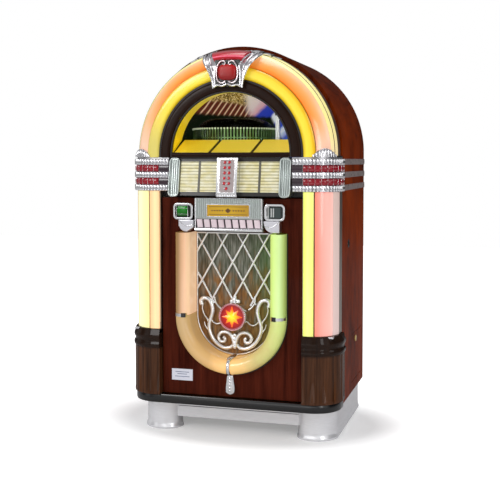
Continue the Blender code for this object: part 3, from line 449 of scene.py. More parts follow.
def arch_yellow(name):
    stops = [(0.0, 206, 170, 20), (0.3, 240, 216, 58), (0.7, 244, 208, 46), (1.0, 222, 168, 32)]
    paint = lit(name, stops, (radial, (0, ARCH_Z), RING_IN, ARCH_SEAM), 0.36, cloud=0.12)
    return tinted(paint, (206, 190, 96), (slanted, -0.8, -1.0, 0.03), -1.10, -0.85)


def plinth_wood(name):
    """Dark glossy veneer, almost black on the rings of the cap."""
    paint = wood(name, rgb(34, 21, 15), rgb(94, 60, 40), (30, 30, 1.0), (0.16, 0.24), 0.30)
    return tinted(paint, (34, 26, 22), (linear, "Z", 0.330, 0.345), 0.0, 1.3)


def hood_wood(name):
    """Warm veneer, darkened towards the top of the hood by painted shade."""
    paint = wood(name, rgb(70, 24, 8), rgb(152, 60, 18), (22, 3.0, 1.4))
    # painted shade: the veneer turns darker towards the round top
    return tinted(paint, (52, 22, 16), (linear, "Z", 1.00, 1.45), 0.0, 1.5)


def using(maker, *values, **named):
    """Recipe: a maker that only waits for the material's name."""
    return lambda name: maker(name, *values, **named)


MATERIALS = {}

RECIPES = {
    "hood_wood": hood_wood,
    "door_wood": using(wood, rgb(46, 16, 10), rgb(86, 38, 26), (24, 24, 1.4), coat=0.05),
    "inner_wood": using(wood, rgb(104, 76, 50), rgb(152, 118, 82), (42, 42, 5), (0.6, 0.8)),
    "chrome": using(metal, (0.84, 0.84, 0.86), 0.1, strength=0.02),
    "cast_chrome": using(metal, (0.84, 0.84, 0.86), 0.16, (90, 90, 90), 0.06, 0.03),
    "satin_steel": using(metal, (0.66, 0.66, 0.68), 0.34, (20, 160, 20), 0.1, 0.05),
    "base_aluminium": using(metal, (0.97, 0.97, 1.0), 0.24, (8, 8, 60), 0.05, 0.006, 0.5),
    "edge_metal": using(metal, (0.42, 0.37, 0.32), 0.34, (40, 40, 6), 0.1, 0.04),
    "brass": using(metal, (0.72, 0.5, 0.18), 0.28),
    "dark_brown": using(moulded, rgb(104, 66, 10), 0.4, 0.1),
    "plinth": plinth_wood,
    "kick_black": using(moulded, rgb(10, 8, 10), 0.22, 0.15),
    "ring_dark": using(moulded, rgb(42, 25, 17), 0.3, 0.05, 0.75, specular=0.12),
    "dark_seam": using(moulded, rgb(24, 16, 14), 0.55),
    "deep_red": using(moulded, rgb(154, 0, 34), 0.18, 0.35, 0.85, scale=12),
    "dark_red": using(moulded, rgb(52, 30, 44), 0.22, 0.4, 0.7),
    "button_red": using(moulded, rgb(206, 30, 40), 0.22, 0.5),
    "pink_panel": using(moulded, rgb(170, 154, 154), 0.4, 0.1, 0.92),
    "gem_red": using(
        lit, [(0.0, 112, 0, 4), (1.0, 178, 2, 8)], (linear, "Z", 1.38, 1.47), 0.55, 0.4, coat=0.0,
    ),
    "vinyl": using(moulded, rgb(16, 24, 12), 0.25, 0.3),
    "speaker_black": using(moulded, rgb(34, 34, 34), 0.5, 0.0),
    "card_white": using(moulded, rgb(226, 228, 240), 0.5, 0.2, 0.96),
    "card_line": using(moulded, rgb(84, 100, 140), 0.5, 0.1),
    "divider_grey": using(moulded, rgb(96, 94, 84), 0.5, 0.1),
    "pearl": using(moulded, rgb(238, 218, 224), 0.25, 0.4, 0.9),
    "lavender": using(metal, (0.8, 0.79, 0.84), 0.3, (70, 70, 70), 0.08, 0.05),
    "wing_metal": using(metal, (0.66, 0.63, 0.65), 0.28, (90, 90, 90), 0.08, 0.04),
    "silver": using(metal, (0.54, 0.59, 0.57), 0.34, (60, 60, 60), 0.06, 0.02),
    "band_grey": using(metal, (0.62, 0.6, 0.64), 0.22, (60, 60, 60), 0.06, 0.02),
    "card_bed": using(moulded, rgb(196, 194, 168), 0.5, 0.1, 0.9),
    # painted light: pale beads on the guides' tops, lighter upwards and glowing with the display lamps' light
    "tick_pale": using(lit, [(0.0, 120, 150, 104), (1.0, 220, 232, 206)], (linear, "Z", 1.17, 1.21), 0.35),
    "wing_dark": using(moulded, rgb(34, 36, 36), 0.25, 0.3),
    "pearl_chrome": using(metal, (0.92, 0.84, 0.86), 0.2, (90, 90, 90), 0.06, 0.02),
    "dark_glass": using(moulded, rgb(44, 58, 58), 0.08, 0.6, 0.9),
    "groove_brown": using(moulded, rgb(116, 84, 58), 0.5, 0.1, 0.5, scale=70),
    "coin_metal": using(metal, (0.58, 0.6, 0.58), 0.22, (90, 90, 90), 0.06, 0.03),
    "grille_metal": using(metal, (0.93, 0.93, 0.94), 0.3, (90, 90, 90), 0.06, 0.03),
    "strip_metal": using(moulded, rgb(186, 170, 168), 0.28, 0.2, 0.8, 0.35),
    "shelf_yellow": using(
        lit, [(0.0, 226, 192, 40), (1.0, 228, 204, 84)], (linear, "X", -0.23, 0.23), 0.4, 0.3,
    ),
    "bar_pale": using(moulded, rgb(206, 208, 206), 0.3, 0.3, 0.9),
    "lens_green": using(
        lit, [(0.0, 0, 66, 6), (1.0, 4, 124, 20)], (linear, "Z", 0.86, 0.898), 0.35, 0.25, coat=0.1,
    ),
    # painted highlight: a pale pink stripe across the cap, with darker red above and below it
    "cap_red": using(
        lit,
        [
            (0.0, 104, 2, 14), (0.34, 166, 12, 34), (0.42, 240, 120, 144),
            (0.49, 176, 16, 40), (1.0, 110, 2, 16),
        ],
        (radial, (0, ARCH_Z), 0.346, 0.4), 0.42, 0.12, 0.05,
    ),
    # painted light: the record guides and hoop take the light green highlights of the lamp-lit record edges,
    # brightest left of the middle, and glow
    "record_edge": using(
        lit, [(0.0, 30, 50, 22), (0.42, 132, 172, 112), (0.7, 70, 106, 52), (1.0, 26, 40, 16)],
        (linear, "X", -0.17, 0.15), 0.3, 0.3, 0.3, (30, 30, 8),
    ),
    "name_amber": using(
        lit, [(0.0, 184, 140, 6), (0.5, 192, 152, 22), (1.0, 170, 128, 12)],
        (linear, "X", -0.083, 0.083), 0.25,
    ),
    "arch_orange": arch_orange,
    "arch_yellow": arch_yellow,
    "edge_cream": using(
        lit, [(0.0, 252, 226, 176), (0.4, 250, 236, 150), (1.0, 250, 240, 160)],
        (linear, "Z", 1.08, 1.45), 0.42,
    ),
    "reveal_yellow": using(
        lit, [(0.0, 236, 196, 20), (0.5, 240, 204, 40), (1.0, 226, 206, 96)],
        (linear, "Z", 1.1, 1.36), 0.5, 0.35,
    ),
    "column_inner_left": using(
        lit, [(0.0, 246, 192, 140), (0.5, 252, 214, 160), (1.0, 250, 200, 146)],
        (linear, "X", -0.322, -0.287), 0.45, streak=(8, 8, 2),
    ),
    "column_outer_left": using(
        lit, [(0.0, 255, 255, 214), (0.5, 255, 252, 188), (1.0, 248, 232, 158)],
        (linear, "X", -0.4, -0.335), 0.45, streak=(8, 8, 2),
    ),
    "column_inner_right": using(
        lit, [(0.0, 216, 224, 96), (0.5, 236, 242, 136), (1.0, 226, 226, 120)],
        (linear, "X", 0.287, 0.322), 0.45, streak=(8, 8, 2),
    ),
    "column_outer_right": using(
        lit, [(0.0, 238, 132, 112), (0.35, 250, 160, 146), (0.75, 252, 184, 172), (1.0, 255, 214, 208)],
        (linear, "X", 0.335, 0.4), 0.45, streak=(8, 8, 2),
    ),
    "edge_pink": using(lit, [(0.0, 230, 202, 196), (1.0, 226, 198, 188)], (linear, "Z", 0.4, 0.96), 0.3),
    "tube_tan": using(
        lit, [(0.0, 140, 106, 62), (0.3, 150, 116, 76), (0.62, 212, 166, 128), (1.0, 254, 210, 170)],
        (linear, "X", -0.2195, -0.1605), 0.34, streak=(8, 8, 2),
    ),
    "tube_green": using(
        lit, [(0.0, 190, 216, 104), (0.35, 206, 236, 138), (0.7, 200, 228, 150), (1.0, 168, 190, 104)],
        (linear, "X", 0.1605, 0.2195), 0.34, streak=(8, 8, 2),
    ),
    "tube_bowl": using(
        lit,
        [
            (0.0, 184, 152, 104), (0.3, 204, 162, 104), (0.52, 250, 196, 122),
            (0.78, 196, 178, 112), (1.0, 196, 212, 124),
        ],
        (linear, "X", -0.21, 0.21), 0.36,
    ),
    "star_orange": using(
        lit, [(0.0, 255, 216, 30), (0.5, 255, 170, 16), (1.0, 240, 96, 20)],
        (radial, (0, 0.47), 0.004, 0.03), 0.6,
    ),
    "medal_red": using(
        lit, [(0.0, 226, 60, 10), (0.5, 176, 20, 8), (1.0, 128, 2, 4)],
        (radial, (0, 0.47), 0.012, 0.047), 0.4, 0.3, coat=0.05,
    ),
    "medal_pink": using(moulded, rgb(236, 150, 160), 0.25, 0.4, 0.9),
    "clear_glass": clear_glass,
    "grille_cloth": woven_cloth,
    "painted_mural": painted_mural,
    "title_strips": title_strips,
}


def paint_of(name):
    if name not in MATERIALS:
        MATERIALS[name] = RECIPES[name](name)
    return MATERIALS[name]


# ---------------------------------------------------------------- mesh tools


SHARP = 35  # degrees: edges sharper than this stay sharp, and are the ones that get rounded


def rounded_edges(obj, width, segments=2):
    rounding = obj.modifiers.new("rounding", "BEVEL")
    rounding.width = width
    rounding.segments = segments
    rounding.limit_method = "ANGLE"
    return rounding


def finished(name, bm, paint, body, replaced=(), angle=SHARP, bevel=0.0, segments=2):
    """Turns a bmesh into a shaded piece that rides on a body."""
    bmesh.ops.recalc_face_normals(bm, faces=bm.faces)
    mesh = bpy.data.meshes.new(name)
    bm.to_mesh(mesh)
    bm.free()
    obj = bpy.data.objects.new(name, mesh)
    bpy.context.scene.collection.objects.link(obj)
    mesh.materials.append(paint_of(paint))
    mesh.shade_smooth()
    mesh.set_sharp_from_angle(angle=math.radians(angle))
    if bevel:
        rounding = rounded_edges(obj, bevel, segments)
        rounding.angle_limit = math.radians(SHARP)
        rounding.harden_normals = True
    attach(obj, body)
    if replaced:
        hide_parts(*replaced)
    return obj


def new(draw, *place, **more):
    """New bmesh with one shape in it, drawn by one of the functions below."""
    bm = bmesh.new()
    draw(bm, *place, **more)
    return bm


def rings_into(bm, rings, closed=False):
    """Skin over rings of points, with both ends filled unless the rings close on themselves."""
    count = len(rings[0])
    rows = [[bm.verts.new(point) for point in ring] for ring in rings]
    pairs = list(zip(rows, rows[1:]))
    if closed:
        pairs.append((rows[-1], rows[0]))
    for one, two in pairs:
        for i in range(count):
            following = (i + 1) % count
            bm.faces.new((one[i], one[following], two[following], two[i]))
    if not closed:
        bm.faces.new(rows[0])
        bm.faces.new(rows[-1])


def placed(station, profile):
    """The points of a profile (out, up) at a station (origin, out, up)."""
    origin, out, up = station
    return [origin + out * a + up * b for a, b in profile]


def swept_into(bm, stations, profile):
    rings_into(bm, [placed(station, profile) for station in stations])


def prism_into(bm, outline, axis, start, end):
    rings = []
    for level in (start, end):
        ring = []
        for first, second in outline:
            point = {"x": (level, first, second), "y": (first, level, second), "z": (first, second, level)}
            ring.append(Vector(point[axis]))
        rings.append(ring)
    rings_into(bm, rings)


def box_into(bm, low, high):
    outline = [(low[0], low[1]), (high[0], low[1]), (high[0], high[1]), (low[0], high[1])]
    prism_into(bm, outline, "z", low[2], high[2])


def turned_into(bm, profile, centre, axis=(0, 0, 1), sides=48):
    """Turned solid from (radius, height) pairs that start and end on the axis or close on themselves."""
    turn = Vector((0, 0, 1)).rotation_difference(Vector(axis)).to_matrix()
    rows = []
    for radius, height in profile:
        if radius < 1e-6:
            rows.append([bm.verts.new(Vector(centre) + turn @ Vector((0, 0, height)))])
            continue
        row = []
        for i in range(sides):
            angle = 2 * math.pi * i / sides
            place = Vector((radius * math.cos(angle), radius * math.sin(angle), height))
            row.append(bm.verts.new(Vector(centre) + turn @ place))
        rows.append(row)
    ends_on_axis = len(rows[0]) == 1 and len(rows[-1]) == 1
    pairs = list(zip(rows, rows[1:]))
    if not ends_on_axis:
        pairs.append((rows[-1], rows[0]))
    for one, two in pairs:
        for i in range(sides):
            following = (i + 1) % sides
            corners = [one[0]] if len(one) == 1 else [one[i], one[following]]
            corners += [two[0]] if len(two) == 1 else [two[following], two[i]]
            if len(corners) > 2:
                bm.faces.new(corners)


def half_round(place, across, out, half, rise, base=0.0, steps=6):
    """Ring of points over half an ellipse that rises above a place."""
    ring = []
    for step in range(steps + 1):
        angle = math.pi * step / steps
        ring.append(place + across * (half * math.cos(angle)) + out * (base + rise * math.sin(angle)))
    return ring


def bead_into(bm, centre, radius, squash=(1, 1, 1)):
    matrix = Matrix.Translation(centre) @ Matrix.Diagonal((*squash, 1))
    bmesh.ops.create_uvsphere(bm, u_segments=12, v_segments=8, radius=radius, matrix=matrix)


def bar_into(bm, points, width, height, back_y, taper=1.0):
    """Cast bar with a half-round crown, laid on the plane y = back_y along points of the XZ plane."""
    count = len(points)
    rings = []
    for i, (x, z) in enumerate(points):
        before = points[max(i - 1, 0)]
        after = points[min(i + 1, count - 1)]
        along = Vector((after[0] - before[0], 0, after[1] - before[1])).normalized()
        side = Vector((along.z, 0, -along.x))
        scale = 1 + (taper - 1) * i / (count - 1)
        place = Vector((x, back_y, z))
        rings.append(half_round(place, side, Vector((0, -1, 0)), width / 2 * scale, height * scale))
    rings_into(bm, rings)


def arc(centre, radius, start_deg, end_deg, steps):
    points = []
    for i in range(steps + 1):
        angle = math.radians(start_deg + (end_deg - start_deg) * i / steps)
        points.append((centre[0] + radius * math.cos(angle), centre[1] + radius * math.sin(angle)))
    return points


def rounded_rect(low, high, radius, steps=5):
    """Outline of a rectangle with rounded corners, from its lowest and highest corners."""
    points = arc((high[0] - radius, high[1] - radius), radius, 0, 90, steps)
    points += arc((low[0] + radius, high[1] - radius), radius, 90, 180, steps)
    points += arc((low[0] + radius, low[1] + radius), radius, 180, 270, steps)
    points += arc((high[0] - radius, low[1] + radius), radius, 270, 360, steps)
    return points


def arch_stations(start_deg, end_deg, steps, leg_to=None):
    """Stations round the arch for (radius, y) profiles, with straight legs down to a height."""
    up = Vector((0, 1, 0))
    stations = []
    for i in range(steps + 1):
        angle = math.radians(start_deg + (end_deg - start_deg) * i / steps)
        out = Vector((math.cos(angle), 0, math.sin(angle)))
        stations.append((Vector((0, 0, ARCH_Z)), out, up))
    if leg_to is not None:
        foot = Vector((0, 0, leg_to))
        if start_deg == 0:
            stations.insert(0, (foot, Vector((1, 0, 0)), up))
        if end_deg == 180:
            stations.append((foot, Vector((-1, 0, 0)), up))
    return stations


def arch_outline(half, bottom, steps=FINE):
    return [(half, bottom)] + arc((0, SPRING_Z), half, 0, 180, steps) + [(-half, bottom)]


def corner_stations(side, start_x, end_y, pitch):
    """Stations in plan along the front, round the corner and back along the side, a pitch apart."""
    up = Vector((0, 0, 1))
    flat = CORNER_X - start_x
    bend = math.pi / 2 * CORNER_R
    back = end_y - CORNER_Y
    total = flat + bend + back
    count = max(int(total / pitch), 8)
    stations = []
    for i in range(count + 1):
        along = total * i / count
        if along < flat:
            stations.append((Vector((side * (start_x + along), FACE_Y, 0)), Vector((0, -1, 0)), up))
        elif along < flat + bend:
            angle = math.pi / 2 - (along - flat) / CORNER_R
            out = Vector((side * math.cos(angle), -math.sin(angle), 0))
            stations.append((Vector((side * CORNER_X, CORNER_Y, 0)) + out * CORNER_R, out, up))
        else:
            place = Vector((side * HALF, CORNER_Y + along - flat - bend, 0))
            stations.append((place, Vector((side, 0, 0)), up))
    return stations


def side_name(side):
    return "left" if side < 0 else "right"


def mirrored(side, points):
    return [(side * first, second) for first, second in points]


def cut_box(obj, low, high):
    """Cuts a rectangular hole and applies it, so that the bevel that follows rounds its edges."""
    cut_mesh(obj, new(box_into, low, high))


def cut_mesh(obj, bm):
    """Cuts one mesh out of a piece, before the bevel that the piece already has."""
    bmesh.ops.recalc_face_normals(bm, faces=bm.faces)
    mesh = bpy.data.meshes.new("cutter")
    bm.to_mesh(mesh)
    bm.free()
    tool = bpy.data.objects.new("cutter", mesh)
    bpy.context.scene.collection.objects.link(tool)
    modifier = obj.modifiers.new("cut", "BOOLEAN")
    modifier.operation = "DIFFERENCE"
    modifier.object = tool
    while obj.modifiers[0] != modifier:
        bpy.context.view_layer.objects.active = obj
        bpy.ops.object.modifier_move_up(modifier="cut")
    graph = bpy.context.evaluated_depsgraph_get()
    others = [held for held in obj.modifiers if held != modifier]
    for held in others:
        held.show_viewport = False
    graph.update()
    made = bpy.data.meshes.new_from_object(obj.evaluated_get(graph))
    for held in others:
        held.show_viewport = True
    obj.modifiers.remove(modifier)
    obj.data = made
    made.shade_smooth()
    made.set_sharp_from_angle(angle=math.radians(SHARP))
    bpy.data.objects.remove(tool)


def repaint(node_name, paint, bevel=0.0):
    """Gives a CAD node that stays in view its finished material and rounded edges."""
    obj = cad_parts[node_name]
    if not obj.data.materials:
        obj.data.materials.append(None)
    for index in range(len(obj.data.materials)):
        obj.data.materials[index] = paint_of(paint)
    if bevel:
        rounded_edges(obj, bevel)


# ---------------------------------------------------------------- cabinet


def make_hood():
    """Wood sides and round top in one bent shell, open at the back and the front."""
    inner = arch_outline(HALF - WALL, SHELL_LOW.z)
    bm = new(prism_into, arch_outline(HALF, SHELL_LOW.z) + inner[::-1], "y", SHELL_FRONT, REAR)
    hood = finished("hood", bm, "hood_wood", "cabinet", ["cabinet_shell"], 30, 0.0015)
    door_low, door_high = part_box("cash_door")
    edge = 0.0015
    low = (HALF - 0.03, door_low.y - edge, door_low.z - edge)
    high = (HALF + 0.02, door_high.y + edge, door_high.z + edge)
    cut_box(hood, low, high)
    profile = [(0, -0.03), (0.011, -0.03), (0.011, 0.02), (0, 0.02)]
    cut_mesh(hood, new(turned_into, profile, (HALF, *LOCK_HOLE), (1, 0, 0), 24))


def make_lock_ring():
    """Dark escutcheon and cylinder in the round hole high on the side."""
    centre = (HALF - 0.006, *LOCK_HOLE)
    profile = [
        (0.0085, 0.0), (0.0108, 0.0), (0.0108, 0.0062), (0.0165, 0.0064), (0.0155, 0.0084), (0.0095, 0.0084)
    ]
    finished("side_lock_ring", new(turned_into, profile, centre, (1, 0, 0), 28), "dark_seam", "cabinet")
    bm = new(
        turned_into,
        [(0, -0.006), (0.0084, -0.006), (0.0084, 0.003), (0.007, 0.0046), (0, 0.0046)],
        centre,
        (1, 0, 0),
        28,
    )
    finished("side_lock_plug", bm, "speaker_black", "cabinet")


def make_side_strips():
    """Three metal strips along each side, carrying on the lines of the collar."""
    for side in SIDES:
        for number in range(3):
            middle = COLLAR_LOW.z + 0.012 + number * BAND_PITCH
            profile = [(0.0, -0.0116), (0.0024, -0.0105), (0.0030, 0), (0.0024, 0.0105), (0.0, 0.0116)]
            stations = []
            for place in (SHELL_FRONT + 0.0005, REAR - 0.001):
                origin = Vector((side * (HALF + 0.0001), place, middle))
                stations.append((origin, Vector((side, 0, 0)), Vector((0, 0, 1))))
            bm = new(swept_into, stations, profile)
            finished(
                f"side_strip_{side_name(side)}_{number + 1}",
                bm,
                "strip_metal",
                "cabinet",
                angle=60,
            )


def foot_outline(inside, outside, front, rear, back, corner):
    """Plan of a side skirt that turns round the front corner into a rounded foot."""
    small = 0.060
    outline = arc((inside + small, front + small), small, 180, 270, 8)
    outline += arc((outside - corner, front + corner), corner, -90, 0, 16)
    return outline + [(outside, rear), (0.379, rear), (0.379, back), (inside, back)]


def make_base():
    """Cast base: side skirts, two wide rounded feet, and a recessed apron with one moulded line, darkened by
    a strip of painted shade.
    """
    half, front, rear, top = 0.393, -0.2305, 0.322, BASE_TOP
    foot_in = 0.243
    for side in SIDES:
        levels = [
            (0.0, 0.0034), (0.004, 0.0042), (0.009, 0.0040), (0.014, 0.0016), (0.024, 0.0004), (0.070, 0.0),
            (0.100, 0.0), (top, 0.0),
        ]
        rings = []
        for level, flare in levels:
            outline = foot_outline(foot_in - flare, half + flare, front - flare, rear, -0.160, 0.085)
            outline = mirrored(side, outline)
            rings.append([Vector((x, y, level)) for x, y in outline])
        bm = new(rings_into, rings)
        replaced = ["base_casting"] if side > 0 else ()
        finished(
            f"base_skirt_{side_name(side)}", bm, "base_aluminium", "cabinet", replaced, 32
        )
    reach = foot_in + 0.030
    # the dark strip in the moulded line is painted shade, under the upper band of the apron that stands out
    # over the lower one
    front_y, seam = -0.1975, 0.0905
    for name, low, high, y, paint in (
        ("base_apron", 0.0460, seam - 0.0018, front_y, "base_aluminium"),
        ("base_apron_groove_shade", seam - 0.0018, seam + 0.0018, front_y + 0.004, "dark_seam"),
        ("base_apron_top", seam + 0.0018, top - 0.0002, front_y - 0.004, "base_aluminium"),
    ):
        bm = new(prism_into, [(y, low), (-0.185, low), (-0.185, high), (y, high)], "x", -reach, reach)
        finished(name, bm, paint, "cabinet", (), 32, 0.0010)
    bm = new(box_into, (-half + 0.0145, rear - 0.012, 0.046), (half - 0.0145, rear - 0.0005, top - 0.0002))
    finished("base_rear_rail", bm, "base_aluminium", "cabinet", (), 32, 0.0012)


def make_kick():
    """Black band round the front, below the plinths."""
    profile = [
        (-0.010, KICK_LOW.z), (0.0065, KICK_LOW.z), (0.008, KICK_LOW.z + 0.004), (0.008, KICK_HIGH.z - 0.008),
        (0.0045, KICK_HIGH.z), (-0.010, KICK_HIGH.z),
    ]
    end_y = SHELL_FRONT - FIT
    right = corner_stations(1, 0.0, end_y, 0.008)
    left = corner_stations(-1, 0.0, end_y, 0.008)[::-1]
    bm = new(swept_into, left[:-1] + right, profile)
    finished("kick_band", bm, "kick_black", "cabinet", ["kick_trim"])


# ---------------------------------------------------------------- columns


def flute(along, pitch, depth):
    """Depth of a rounded flute at a distance along the surface."""
    return -depth * (1 - abs(math.sin(math.pi * along / pitch))) ** 2


def make_plinths():
    """Dark fluted plinths with a two-ring cap."""
    shaft = 0.013
    for side in SIDES:
        stations = corner_stations(side, 0.2848, SHELL_FRONT - FIT, 0.0015)
        travelled, rings = 0.0, []
        cap = [
            (0.342, shaft), (0.345, 0.0165), (0.352, 0.0175), (0.359, 0.0165), (0.363, 0.0125),
            (0.372, 0.0120), (0.377, 0.0150), (0.384, 0.0172), (0.392, 0.0165), (0.399, 0.0125),
            (0.409, 0.0110), (0.4148, 0.0075),
        ]
        for index, (origin, out, up) in enumerate(stations):
            if index:
                travelled += (origin - stations[index - 1][0]).length
            dip = flute(travelled, 0.0400, 0.0022)
            ring = [origin + out * 0.004 + up * PLINTH_LOW.z]
            ring.append(origin + out * (shaft + 0.001) + up * PLINTH_LOW.z)
            ring.append(origin + out * (shaft + 0.001) + up * (PLINTH_LOW.z + 0.010))
            ring.append(origin + out * (shaft + dip) + up * (PLINTH_LOW.z + 0.014))
            ring.append(origin + out * (shaft + dip) + up * 0.336)
            ring += [origin + out * offset + up * level for level, offset in cap]
            ring.append(origin + out * -0.010 + up * PLINTH_HIGH.z)
            ring.append(origin + out * -0.010 + up * (PLINTH_HIGH.z - 0.006))
            ring.append(origin + out * 0.004 + up * (PLINTH_HIGH.z - 0.006))
            rings.append(ring)
        bm = new(rings_into, rings)
        name = side_name(side)
        finished("plinth_" + name, bm, "plinth", "cabinet", ["column_base_" + name], 45)
        inside = sorted((side * 0.2840, side * 0.2868))
        bm = new(
            box_into,
            (inside[0], FACE_Y - 0.0125, PLINTH_LOW.z + 0.001),
            (inside[1], DOOR_FRONT + 0.020, 0.3995),
        )
        finished("plinth_wall_" + name, bm, "plinth", "cabinet", (), 30, 0.0012)
        bm = new(
            box_into,
            (min(side * 0.29, side * 0.40), -0.28, 0.4070),
            (max(side * 0.29, side * 0.40), -0.170, 0.4140),
        )
        finished("lamp_seat_" + name, bm, "satin_steel", "cabinet", (), 30, 0.001)


def bulged(first, second, y, rise, steps=10):
    """Convex outline between two places, with its back a wall thickness behind."""
    points = []
    for i in range(steps + 1):
        share = i / steps
        lift = rise * (1 - (2 * share - 1) ** 4) ** 0.5
        points.append((first + (second - first) * share, y - lift))
    return points + [(second, y + 0.004), (first, y + 0.004)]


def outer_lens_profile(start, end_deg, corner_x=CORNER_X):
    """Outer plastic: from the groove round the corner, with a soft rolled inner edge."""
    begin = math.degrees(math.acos((start + 0.004 - corner_x) / CORNER_R))
    front = CORNER_Y - CORNER_R * math.sin(math.radians(begin))
    outside = [(start, front + 0.006), (start + 0.0006, front + 0.0015)]
    outside += arc((corner_x, CORNER_Y), CORNER_R, -begin, -end_deg, 16)
    inside = arc((corner_x, CORNER_Y), CORNER_R - 0.004, -end_deg, -begin, 10)
    return outside + inside


def edge_profile(start_deg, end_deg, lift=0.0, corner_x=CORNER_X):
    """Thin strip round the outer corner, next to the outer plastic."""
    radius = CORNER_R + lift
    outside = arc((corner_x, CORNER_Y), radius, -start_deg, -end_deg, 8)
    return outside + arc((corner_x, CORNER_Y), radius - 0.004, -end_deg, -start_deg, 8)


def make_columns():
    """Lit columns: two plastics with a groove between them, the pale edge, and the metal channel behind."""
    low, high = STRIP_LOW.z + 0.0004, STRIP_HIGH.z - 0.0004
    for side in SIDES:
        name = side_name(side)
        bm = new(prism_into, mirrored(side, bulged(RING_IN, 0.3268, FACE_Y, 0.0030)), "z", low, high)
        replaced = ["column_lens_" + name]
        finished(
            "column_inner_" + name,
            bm,
            "column_inner_" + name,
            "cabinet",
            replaced,
            30,
        )
        bm = new(prism_into, mirrored(side, outer_lens_profile(0.3304, 36)), "z", low, high)
        finished(
            "column_outer_" + name, bm, "column_outer_" + name, "cabinet", (), 30
        )
        bm = new(prism_into, mirrored(side, edge_profile(35.2, 9)), "z", low, high)
        paint = "edge_cream" if side < 0 else "edge_pink"
        finished("column_edge_" + name, bm, paint, "cabinet", (), 30)
        flange = [(HALF, SHELL_FRONT - FIT)] + arc((CORNER_X, CORNER_Y), CORNER_R, 0, -8, 4)
        flange += arc((CORNER_X, CORNER_Y), CORNER_R - CHANNEL_WALL, -8, 0, 4)
        flange += [
            (HALF - CHANNEL_WALL, -0.1660), (0.2868, -0.1660), (0.2868, -0.2900), (CHANNEL_IN, -0.2900),
            (CHANNEL_IN, SHELL_FRONT - FIT),
        ]
        bm = new(prism_into, mirrored(side, flange), "z", low, high)
        finished(
            "column_channel_" + name,
            bm,
            "edge_metal",
            "cabinet",
            ["column_pan_" + name],
            30,
        )
        groove = [
            (0.3260, FACE_Y + 0.0040), (0.3312, FACE_Y + 0.0040), (0.3312, FACE_Y + 0.0165),
            (0.3260, FACE_Y + 0.0165),
        ]
        bm = new(prism_into, mirrored(side, groove), "z", low, high)
        finished("column_groove_" + name, bm, "groove_brown", "cabinet")
        repaint("bubble_tube_" + name, "clear_glass")
        repaint("color_cylinder_" + name, "edge_cream")


def ribs_into(bm, stations, pitch, half, low, high, base, crown):
    """Upright half-round ribs along stations in plan, with rounded ends."""
    travelled, wanted = 0.0, pitch / 2
    for (origin, out, up), (after, _, _) in zip(stations, stations[1:]):
        step = (after - origin).length
        while wanted <= travelled + step:
            place = origin + (after - origin) * ((wanted - travelled) / step)
            side = out.cross(up).normalized()
            rings = []
            levels = [
                (low, 0.45), (low + 0.0012, 0.85), (low + 0.003, 1.0), (high - 0.003, 1.0),
                (high - 0.0012, 0.85), (high, 0.45),
            ]
            for level, shrink in levels:
                rings.append(half_round(place + up * level, side, out, half * shrink, crown * shrink, base))
            rings_into(bm, rings)
            wanted += pitch
        travelled += step


def make_collars():
    """Chrome collars of three ribbed bands, with red pads between them that darken on the inside."""
    for side in SIDES:
        name = side_name(side)
        stations = corner_stations(side, 0.2455, SHELL_FRONT - FIT, 0.0020)
        bands = bmesh.new()
        ribs = bmesh.new()
        for number in range(3):
            bottom = COLLAR_LOW.z + number * BAND_PITCH
            top = bottom + 0.024
            section = [
                (-0.004, bottom), (0.0072, bottom), (0.0086, bottom + 0.0012), (0.0086, bottom + 0.0026),
                (0.0062, bottom + 0.0034), (0.0062, top - 0.0034), (0.0086, top - 0.0026),
                (0.0086, top - 0.0012), (0.0072, top), (-0.004, top),
            ]
            swept_into(bands, stations, section)
            ribs_into(ribs, stations, 0.0128, 0.0052, bottom + 0.0002, top - 0.0002, 0.0050, 0.0062)
        finished(
            "collar_bands_" + name, bands, "band_grey", "cabinet", ["collar_" + name], 40
        )
        finished("collar_ribs_" + name, ribs, "chrome", "cabinet", (), 60)
        for number in range(2):
            bottom = COLLAR_LOW.z + 0.0243 + number * BAND_PITCH
            top = bottom + 0.0254
            red = [station for station in stations if abs(station[0].x) > 0.2865]
            dark = [station for station in stations if abs(station[0].x) < 0.2855]
            travelled, rings = 0.0, []
            for index, (origin, out, up) in enumerate(red):
                if index:
                    travelled += (origin - red[index - 1][0]).length
                swell = 0.0024 * abs(math.sin(math.pi * travelled / 0.0235)) ** 0.7
                section = [
                    (0.0, bottom), (0.0050, bottom), (0.0066 + swell, bottom + 0.004),
                    (0.0076 + swell, (bottom + top) / 2), (0.0066 + swell, top - 0.004), (0.0050, top),
                    (0.0, top),
                ]
                rings.append([origin + out * a + up * b for a, b in section])
            bm = new(rings_into, rings)
            replaced = ["collar_band_" + name] if number == 0 else ()
            finished(f"collar_red_{name}_{number + 1}", bm, "deep_red", "cabinet", replaced, 60)
            section = [
                (0.0, bottom), (0.0050, bottom), (0.0072, bottom + 0.004), (0.0072, top - 0.004),
                (0.0050, top), (0.0, top),
            ]
            bm = new(swept_into, dark, section)
            finished(f"collar_dark_{name}_{number + 1}", bm, "dark_red", "cabinet", (), 50)
            bm = new(ribs_into, red[4:-1], 0.0235, 0.0011, bottom + 0.001, top - 0.001, 0.0062, 0.0030)
            finished(
                f"collar_lines_{name}_{number + 1}", bm, "pearl_chrome", "cabinet", (), 60
            )
        back = [(-0.006, COLLAR_LOW.z + 0.001), (0.0005, COLLAR_LOW.z + 0.001), (0.0005, LID_BOTTOM - 0.0005)]
        bm = new(swept_into, stations, back + [(-0.006, LID_BOTTOM - 0.0005)])
        finished("collar_core_" + name, bm, "satin_steel", "cabinet")


# ---------------------------------------------------------------- lid


